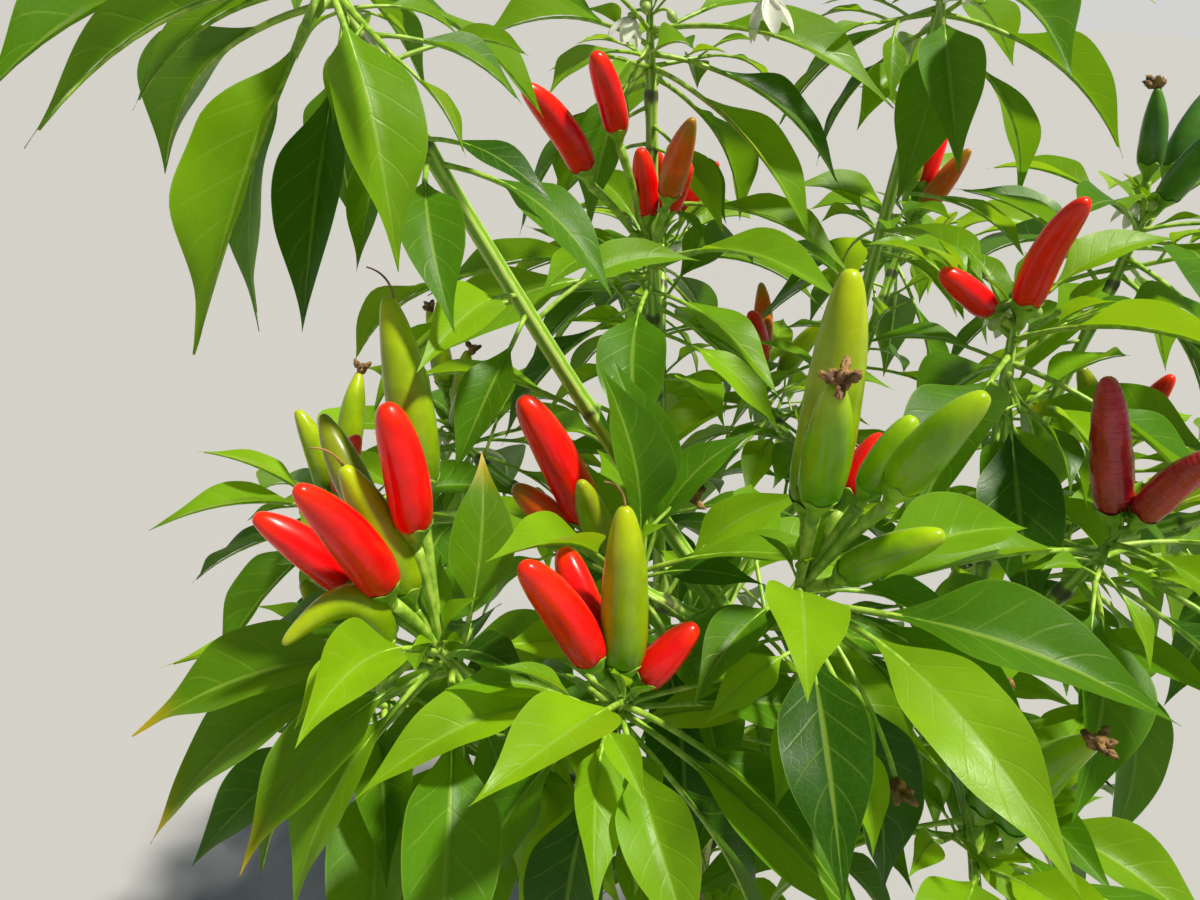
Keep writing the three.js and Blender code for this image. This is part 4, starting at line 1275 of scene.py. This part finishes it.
cupProfiles = {  # from its foot over the rim and back inside: height and width as shares of the girth
    "height": (
        (0, -1.25), (0.1, -1.2), (0.3, -0.7), (0.5, -0.2), (0.66, 0.14), (0.76, 0.3), (0.82, 0.26),
        (0.92, 0.08), (1, 0.0),
    ),
    "width": (
        (0, 0), (0.1, 0.25), (0.3, 0.31), (0.5, 0.6), (0.66, 0.78), (0.76, 0.86), (0.82, 0.8), (0.92, 0.6),
        (1, 0),
    ),
}
cupRelief = {
    "teeth": 5.0, "toothPower": 1.6, "toothMiddle": 0.3, "toothGain": 1.6, "rimIn": (0.55, 0.76),
    "rimOut": (0.8, 0.95, 1.0, 0.0), "ridge": 0.05, "ridgeIn": (0.1, 0.4),
}


def podSpot(net, along, turn, radius):  # a place on a pod from its share along the axis, turn and radius
    aim, side, over = net.axes()
    length, bend, hook = net.own("length"), net.own("bend"), net.own("hook")
    inside = net.math("MAXIMUM", along, 0.0)
    centre = net.own("foot", "FLOAT_VECTOR") + aim * (length * along)
    centre = centre + over * (4.0 * bend * length * along * (1.0 - along))
    centre = centre + side * (hook * length * inside * inside * inside)
    tangent = aim + over * (4.0 * bend * (1.0 - 2.0 * along)) + side * (3.0 * hook * inside * inside)
    tangent = net.vector("NORMALIZE", tangent)
    first = net.vector("NORMALIZE", side - tangent * net.vector("DOT_PRODUCT", side, tangent))
    second = net.vector("CROSS_PRODUCT", tangent, first)
    return centre + (first * net.cosine(turn) + second * net.sine(turn)) * radius


def podTree(name, materials):
    net = Growth(name, podShape)
    sizes, relief = net.sizes, podRelief
    pods, _, turn, along = net.balls()
    slim, blunt = [net.profile(along, podProfiles[key]) for key in ("slim", "blunt")]
    share, phase = net.own("blunt"), net.own("phase")

    def onCylinder(width, length, step):  # so that the relief closes round the pod
        return net.joined(net.cosine(turn) * width + phase * step, net.sine(turn) * width, along * length)

    spot, drawnOut = onCylinder(*relief["lump"]), onCylinder(*relief["wrinkle"])
    lump = (net.noise(spot, *relief["lumpNoise"]) - 0.5) * 2.0 * sizes["Lump"]
    lump = lump + (net.noise(spot, *relief["dentNoise"]) - 0.5) * 2.0 * sizes["Dent"]
    wrinkle = net.math("ABSOLUTE", net.noise(drawnOut, *relief["wrinkleNoise"]) - 0.5)
    wrinkle = wrinkle * -2.0 * net.own("wrinkle")
    folds = net.cosine(turn * relief["folds"] + phase * 6.0) * sizes["Crease"] * (1.0 - along)
    radius = net.own("girth") * (slim * (1.0 - share) + blunt * share) * (1.0 + lump + wrinkle + folds)
    pods = net.moved(pods, podSpot(net, along, turn, radius))
    return net.finish(net.store(pods, "podShare", along), materials)


def cupTree(name, material):  # the calyx: a cup with five teeth that holds the foot of the pod
    net = Growth(name, cupShape)
    shape, girth = cupRelief, net.own("girth")
    cups, t, turn, _ = net.balls()
    height, wide = [net.profile(t, cupProfiles[key]) for key in ("height", "width")]
    rim = net.ramp(t, *shape["rimIn"]) * net.ramp(t, *shape["rimOut"])
    wave = net.cosine(turn * shape["teeth"])
    point = net.math("POWER", wave * 0.5 + 0.5, shape["toothPower"])
    tooth = rim * (point - shape["toothMiddle"]) * net.sizes["Tooth"] * shape["toothGain"]
    along = girth * (height + tooth) / net.own("length")
    ridge = wave * shape["ridge"] * net.ramp(t, *shape["ridgeIn"])
    radius = girth * (wide + ridge + rim * point * shape["ridge"])
    return net.finish(net.moved(cups, podSpot(net, along, turn, radius)), [material])


def dressPod(pod, seed):
    aim, side, _ = leafFrame(pod)
    (length, girth), luck, ripeness = podLengths(pod), podChance, pod["ripeness"]
    ripe = luck["ripeBlunt"] if ripeness in ("red", "wine") else 0.0
    return {
        **pod,
        "aim": aim,
        "side": side,
        "foot": (pod["root"] + aim * pod["stalk"]) * mm,
        "length": length * mm,
        "girth": girth * between(*luck["girth"], chance(seed, 0.15)) * mm,
        "hook": luck["hook"] * (chance(seed, 0.25) - 0.5),
        "blunt": ripe + luck["blunt"] * chance(seed, 0.35),
        "wrinkle": luck["wrinkle"][ripeness == "wine"],
        "phase": chance(seed, 0.45),
        "tone": float(ripenessNames.index(ripeness)),
    }


# The main stem and the boughs

barkShape = {
    "sides": 84, "rings": 120, "crowding": 1.25, "forkSwelling": 0.16, "forkReach": 7, "ridge": 0.55,
    "ridgeScale": (2.3, 0.018, 2.2),  # round the stem, up it, and of both
    "grain": 0.22, "grainScale": (9, 0.09), "paleFrom": 130, "paleLength": 70, "pale": 0.35,
}
leafTube = {"Sides": 7, "Ribs": 3, "Relief": 0.0}
podTube = {"Sides": 14, "Ribs": 5, "Rib depth": 0.09}


def growStem():
    shape, sides, rings = barkShape, barkShape["sides"], barkShape["rings"]
    verts, woods, faces = [], [], []
    for ring in shares(rings):
        share = ring ** shape["crowding"]
        centre = bezier(stemPath, share)
        height = float(centre[2])
        radius, flare = stemRadius(centre[2], share, topRadius)
        radius *= 1 + shape["forkSwelling"] * fading(limbSizes["stemTop"][2] - height, shape["forkReach"])
        for j in range(sides):
            turn = 2 * math.pi * j / sides
            lobe = 1 + limbSizes["lobeDepth"] * flare * math.cos(limbSizes["flareLobes"] * turn)
            around = Vector((math.cos(turn), math.sin(turn), 0))
            across, rising, both = shape["ridgeScale"]
            ridge = abs(noise.noise((around * across + Vector((0, 0, height * rising))) * both)) * 2 - 0.5
            across, rising = shape["grainScale"]
            grain = noise.noise(around * across + Vector((3, 5, height * rising)))
            r = radius * lobe - shape["ridge"] * (0.5 - ridge) + shape["grain"] * grain
            verts.append((centre + np.array([math.cos(turn), -math.sin(turn), 0]) * r) * mm)
            woods.append(1 - shape["pale"] * max(0.0, (height - shape["paleFrom"]) / shape["paleLength"]))
    for i in range(rings):
        for j in range(sides):
            a, b = i * sides + j, i * sides + (j + 1) % sides
            faces.append((a, a + sides, b + sides, b))
    faces += [range(sides), range((rings + 1) * sides - 1, rings * sides - 1, -1)]
    mesh = bpy.data.meshes.new("main_stem_bark")
    mesh.from_pydata(verts, [], faces)
    for key, values in (("wood", woods), ("joint", [0.0] * len(woods)), ("rib", [0.5] * len(woods))):
        mesh.attributes.new(key, "FLOAT", "POINT").data.foreach_set("value", values)
    mesh.shade_smooth()
    mesh.materials.append(stemSkin)
    return addObject("main_stem_bark", mesh)


def keep(piece, nodes=()):
    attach(piece, "root")
    if nodes:
        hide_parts(*nodes)


keep(growStem(), ["main_stem"])
for name, slot, green, sides, steps in (
    ("boughs_woody", "bark", False, 24, 25),
    ("boughs_green", "green_stem", True, 20, 39),
):
    own = [limb for limb in limbs if limb["name"].startswith("to_") == green]
    piece = growTubes(name, [limbPath(limb, steps) for limb in own], stemSkin, {"Sides": sides})
    keep(piece, ["bough_" + limb["name"] for limb in own])
print("stem and boughs done")

bigBlades = bladeTree("leaf_growth", leafMaterials)
podGrowth = podTree("pod_growth", podMaterials)
cupGrowth = cupTree("calyx_growth", calyxSkin)

for quarter, names in quarters.items():
    leaves = [leaf for name in names for kind in ("shownLeaves", "ruledLeaves") for leaf in grown[name][kind]]
    small = [leaf for name in names for leaf in fine[name]["smallLeaves"]]
    pods = [pod for name in names for kind in ("shownPods", "ruledPods") for pod in grown[name][kind]]
    blades = growBlades("leaves_" + quarter, leaves, bigBlades, bladeShape)
    keep(blades, nodes=["tuft_" + name for name in names])
    keep(growBlades("small_leaves_" + quarter, small, bigBlades, smallBlade))
    ribs = [ribPath(leaf, 14) for leaf in leaves] + [ribPath(leaf, 9) for leaf in small]
    keep(growTubes("leaf_stalks_" + quarter, ribs, stalkSkin, leafTube))
    twigs = [twigPath(start, end) for name in names for start, end in fine[name]["twigs"]]
    stalks = [stalkPath(pod) for pod in pods] + twigs
    keep(growTubes("pod_stalks_" + quarter, stalks, stalkSkin, podTube))
    rows = [dressPod(pod, seed) for seed, pod in enumerate(pods, 1)]
    skins = seedPoints(rows, (*podNumbers, "tone"))
    keep(toMesh("pods_" + quarter + "_skins", skins, podGrowth, podShape, ["podShare"]))
    keep(toMesh("pods_" + quarter + "_calyces", seedPoints(rows, podNumbers), cupGrowth, cupShape))
    print(quarter, "quarter:", len(leaves), "leaves,", len(small), "small leaves,", len(pods), "pods")

# Blossoms: petals, buds, calyces and anthers, and the brown dry ones that stay on the young pods

flowerCounts = {  # open flowers on a tuft
    "top": 1, "high_left": 1, "top_right": 2, "right_high": 1, "left_middle": 1, "back": 2, "right_middle": 1,
    "back_left_low": 1, "back_right_middle": 1, "red_right": 1,
}
blossomRule = {
    "buds": 3,  # for each of these tufts
    "feet": (-0.3, 0.1), "turn": 80, "pitch": (15, 70), "stalk": (9, 15), "stalkRadius": 0.55, "petals": 6,
    "petal": (12.5, 2.8),  # length and half width, as in all that follow
    "petalPitch": (42, 60),  # degrees that the petals stand out from the flower's axis
    "cup": (3.0, 2.3), "anther": (2.8, 0.55), "style": (4.76, 0.35), "bud": (6.5, 2.1), "dry": (6.0, 2.0),
    "rags": 6, "rag": (6.0, 1.1), "thread": (9, 0.28),
    "spread": (0.6, 1.1),  # of the lengths of buds and rags
}
nodShape = {"steps": 8, "bend": 0.7, "rise": 0.12, "widening": 1.35, "flower": 0.5, "bud": 0.3, "dry": 0.1}
shownBlossom = {"on": "top", "turn": -32, "pitch": 43, "stalk": 74, "size": 1.4}  # the white one near the top
dryOnPods = (("centre_right", 1),)  # tuft, and the number of its shown pod that still carries its dry blossom
dryBeside = (  # tuft, turn, pitch and length of a bare stalk that ends in a dry blossom
    ("centre_right", -62, -24, 54),
    ("inner", 38, 38, 40),
)
threadPods = (("left", 0), ("left", 2), ("middle", 1))  # pods with the thin dry thread of their blossom
petalShape = {"Along": 9, "Across": 7, "Back bend": 0.28, "Hollow": 0.25}
petalProfile = ((0, 0.3), (0.2, 0.75), (0.5, 1), (0.75, 0.78), (0.92, 0.35), (1, 0.02))
lumpShape = {
    "Segments": 20, "Rings": 14, "Crumple": 4.2, "Crumple scale": 2.6, "Wander": 0.8, "Wander scale": 1.7,
}
lumpTones = {"bud": 0.0, "anther": 1.0, "dry": 2.0}
blossomTube = {"Sides": 8, "Ribs": 3, "Relief": 0.0}
threadTube = {"Sides": 6, "Ribs": 2, "Relief": 0.0}


def petalTree(name, material):
    net = Growth(name, petalShape)
    petals, s, v = net.sheets()
    outline = net.profile(s, petalProfile)
    aim, side, over = net.axes()
    length, half = net.own("length"), net.own("girth")
    rise = s * s * length * net.sizes["Back bend"] * -1.0 + v * v * half * outline * net.sizes["Hollow"]
    place = net.own("foot", "FLOAT_VECTOR") + aim * (s * length) + side * (v * half * outline) + over * rise
    return net.finish(net.moved(petals, place), [material])


def lumpTree(name, materials):  # closed rounded forms, smooth for a bud, crumpled for a dry blossom
    net = Growth(name, lumpShape)
    sizes, crumpled = net.sizes, net.own("crumple")
    lumps, t, turn, along = net.balls()
    spot = net.joined(net.cosine(turn) + net.own("phase") * 9.0, net.sine(turn), along * 2.2)
    crumple = (net.noise(spot, sizes["Crumple scale"], 4.0, 0.7) - 0.5) * sizes["Crumple"] * crumpled
    radius = net.own("girth") * net.sine(t * math.pi) * (1.0 + crumple)
    wander = net.noise(spot + (7.0, 0.0, 0.0), sizes["Wander scale"], 1.0) - 0.5
    along = along + wander * crumpled * sizes["Wander"]
    return net.finish(net.moved(lumps, podSpot(net, along, turn, radius)), materials)


petals, lumps, blossomStalks, threads = [], [], [], []


def blossomRow(foot, aim, length, girth, tone="bud", crumple=0.0, seed=0):
    aim = unit(aim)
    return {
        "root": foot,
        "foot": foot * mm,
        "aim": aim,
        "side": unit(np.cross(aim, up if abs(aim[2]) < 0.9 else vec((1, 0, 0)))),
        "length": length * mm,
        "girth": girth * mm,
        "tone": lumpTones[tone],
        "crumple": crumple,
        "phase": chance(seed, 0.5),
        "bend": 0.0,
        "hook": 0.0,
    }


def nodStalk(start, aim, length, drop):  # a thin stalk that rises and then nods
    shape = nodShape
    end = start + aim * length - up * drop * length
    path = (start, start + aim * length * shape["bend"] + up * shape["rise"] * length, end)
    radius = blossomRule["stalkRadius"]
    steps = shares(shape["steps"])
    blossomStalks.append([pathRow(bezier(path, i), radius * between(1, shape["widening"], i)) for i in steps])
    return end, bezierAim(path, 1)


def around(axis, share):  # a direction out from an axis
    a = unit(np.cross(axis, vec((0.3, 0.9, 0.1))))
    return a * math.cos(2 * math.pi * share) + np.cross(axis, a) * math.sin(2 * math.pi * share)


def growFlower(start, aim, length, seed, size=1.0):
    rule = blossomRule
    end, nod = nodStalk(start, aim, length, nodShape["flower"])
    axis = unit(nod - up * 0.6)
    lumps.append(blossomRow(end - axis * 0.8, axis, *rule["cup"], seed=seed))
    heart = end + axis * rule["cup"][0] * 0.5
    spread = math.radians(between(*rule["petalPitch"], chance(seed, 0.7)))
    long, half = rule["petal"]
    for i in range(rule["petals"]):
        out = around(axis, (i + chance(seed, 0.9)) / rule["petals"])
        opened = axis * math.cos(spread) + out * math.sin(spread)
        petal = blossomRow(heart + out * 1.1, opened, long * size, half * size)
        petals.append({**petal, "side": unit(np.cross(axis, out))})
        lumps.append(blossomRow(heart + out * 0.9, axis + out * 0.25, *rule["anther"], "anther", seed=i))
    lumps.append(blossomRow(heart, axis, *rule["style"], seed=seed))


def growBud(start, aim, length, seed):
    end, nod = nodStalk(start, aim, length, nodShape["bud"])
    long, wide = blossomRule["bud"]
    long *= between(*blossomRule["spread"], chance(seed, 0.3))
    lumps.append(blossomRow(end - nod * 0.8, nod, long, wide, seed=seed))


def growDry(tip, aim, seed):  # a crumpled brown blossom with its ragged petals
    rule = blossomRule
    lumps.append(blossomRow(tip - aim * 1.5, aim, *rule["dry"], "dry", 0.5, seed))
    for i in range(rule["rags"]):
        out = around(aim, (i + chance(seed, i)) / rule["rags"])
        foot = tip + aim * between(-0.5, 2.5, chance(seed, i + 0.3)) + out * 0.6
        rag = out + aim * between(0.0, 1.4, chance(seed, i + 0.6))
        long = rule["rag"][0] * between(*rule["spread"], chance(seed, i + 0.8))
        lumps.append(blossomRow(foot, rag, long, rule["rag"][1], "dry", 0.7, seed + i))


def podTip(pod):
    tip = podCentre(pod, 1.0)
    return tip, unit(tip - podCentre(pod, 0.93))


def growThread(pod, number):
    tip, aim = podTip(pod)
    length, radius = blossomRule["thread"]
    side = heading(190 + 20 * number, 10)
    path = (tip - aim, tip + aim * length * 0.7, tip + aim * length * 0.75 + side * length * 0.7)
    threads.append([pathRow(bezier(path, share), radius * between(1.5, 0.8, share)) for share in shares(8)])


rule = blossomRule
for seed, (name, count) in enumerate(flowerCounts.items(), 301):
    tuft = tufts[name]
    for k in range(count + rule["buds"]):
        foot = between(*rule["feet"], chance(seed, k))
        start = tuft["node"] + tuft["lean"] * foot * limbSizes["shootRadius"]
        turn = tuft["outside"] + rule["turn"] + tuftRule["goldenTurn"] * k
        aim = heading(turn, between(*rule["pitch"], chance(seed, k + 0.2)))
        grow = growFlower if k < count else growBud
        grow(start, aim, between(*rule["stalk"], chance(seed, k + 0.4)), seed * 10 + k)
shown = shownBlossom
aim = heading(shown["turn"], shown["pitch"])
growFlower(tufts[shown["on"]]["node"], aim, shown["stalk"], 5, shown["size"])
for name, number in dryOnPods:
    growDry(*podTip(grown[name]["shownPods"][number]), number + 1)
for name in tufts:
    for number, pod in enumerate(grown[name]["ruledPods"]):
        young = pod["ripeness"] in ("green", "lime") and chance(number + len(name), 0.4) > 0.45
        if young or pod["ripeness"] == "dark":
            growDry(*podTip(pod), number + 7)
for seed, (name, turn, pitch, length) in enumerate(dryBeside, 11):
    growDry(*nodStalk(tufts[name]["node"], heading(turn, pitch), length, nodShape["dry"]), seed)
for name, number in threadPods:
    growThread(grown[name]["shownPods"][number], number)

blossomNumbers = ("length", "girth", "tone", "crumple", "phase", "bend", "hook")
for name, rows, tree, values in (
    ("blossom_petals", petals, petalTree("petal_growth", petalSkin), petalShape),
    ("blossom_buds", lumps, lumpTree("bud_growth", [budSkin, antherSkin, drySkin]), lumpShape),
):
    keep(toMesh(name, seedPoints(rows, blossomNumbers), tree, values))
keep(growTubes("blossom_stalks", blossomStalks, stalkSkin, blossomTube))
keep(growTubes("pod_threads", threads, drySkin, threadTube))
counts = (len(petals) // rule["petals"], "open,", len(lumps), "small forms,", len(threads), "threads")
print("blossoms:", *counts)

# Camera, light and floor

view = {
    "eye": (-65, -320, 640),
    "pitch": 28,  # degrees below level
    "roll": 4.5, "lens": 27.18, "sensor": 36,
    "floorHalf": 30.0,  # metres
    "floorPaint": {"Base Color": (0.365, 0.365, 0.36, 1.0), "Roughness": 0.9}, "sunFrom": (0.8, -0.05, 2.4),
    "sunTo": (0.0, 0.0, 0.45), "sunPower": 5.5, "sunColour": (1.0, 0.95, 0.84),
    "sunAngle": 5,  # degrees across, for soft edges to the shadows
    "horizon": (0.86, 0.86, 0.84, 1.0), "sky": (0.62, 0.72, 0.85, 1.0), "horizonPower": 0.76,
    "skyPower": 0.26, "skyStart": (0.04, 0.16),
}


def setCamera():
    data = bpy.data.cameras.new("camera")
    data.lens, data.sensor_width = view["lens"], view["sensor"]
    data.clip_start, data.clip_end = 0.01, 100
    pitch, roll = math.radians(view["pitch"]), math.radians(view["roll"])
    right, above = np.array([1.0, 0, 0]), np.array([0, math.sin(pitch), math.cos(pitch)])
    ahead = np.array([0, math.cos(pitch), -math.sin(pitch)])
    turnedRight = right * math.cos(roll) + above * math.sin(roll)
    turnedUp = above * math.cos(roll) - right * math.sin(roll)
    turned = Matrix([turnedRight, turnedUp, -ahead]).transposed().to_4x4()
    made = addObject("camera", data)
    made.matrix_world = Matrix.Translation(vec(view["eye"]) * mm) @ turned
    scene.camera = made


def setFloor():
    half, skin = view["floorHalf"], Skin("floor_paint")
    mesh = bpy.data.meshes.new("floor")
    corners = [(-half, -half, 0), (half, -half, 0), (half, half, 0), (-half, half, 0)]
    mesh.from_pydata(corners, [], [(0, 1, 2, 3)])
    mesh.materials.append(skin.finish(skin.principled(view["floorPaint"])))
    addObject("floor", mesh)


def setLights():
    world = bpy.data.worlds.new("sky")
    world.use_nodes = True
    world.node_tree.nodes.clear()
    net = Net(world.node_tree)
    height = net.split(net.node("ShaderNodeTexCoord", out="Generated")).at("Z")
    share = net.ramp(height, *view["skyStart"])
    colour = net.mix(share, view["horizon"], view["sky"])
    power = net.ramp(share, 0.0, 1.0, view["horizonPower"], view["skyPower"])
    light = net.node("ShaderNodeBackground", {"Color": colour, "Strength": power})
    net.node("ShaderNodeOutputWorld", {"Surface": light})
    scene.world = world
    sun = bpy.data.lights.new("sun", "SUN")
    sun.angle, sun.energy, sun.color = math.radians(view["sunAngle"]), view["sunPower"], view["sunColour"]
    made = addObject("sun", sun)
    made.location = view["sunFrom"]
    made.rotation_mode = "QUATERNION"
    made.rotation_quaternion = (Vector(view["sunTo"]) - Vector(view["sunFrom"])).to_track_quat("-Z", "Y")


scene.view_settings.view_transform = "Standard"
setCamera()
setFloor()
setLights()
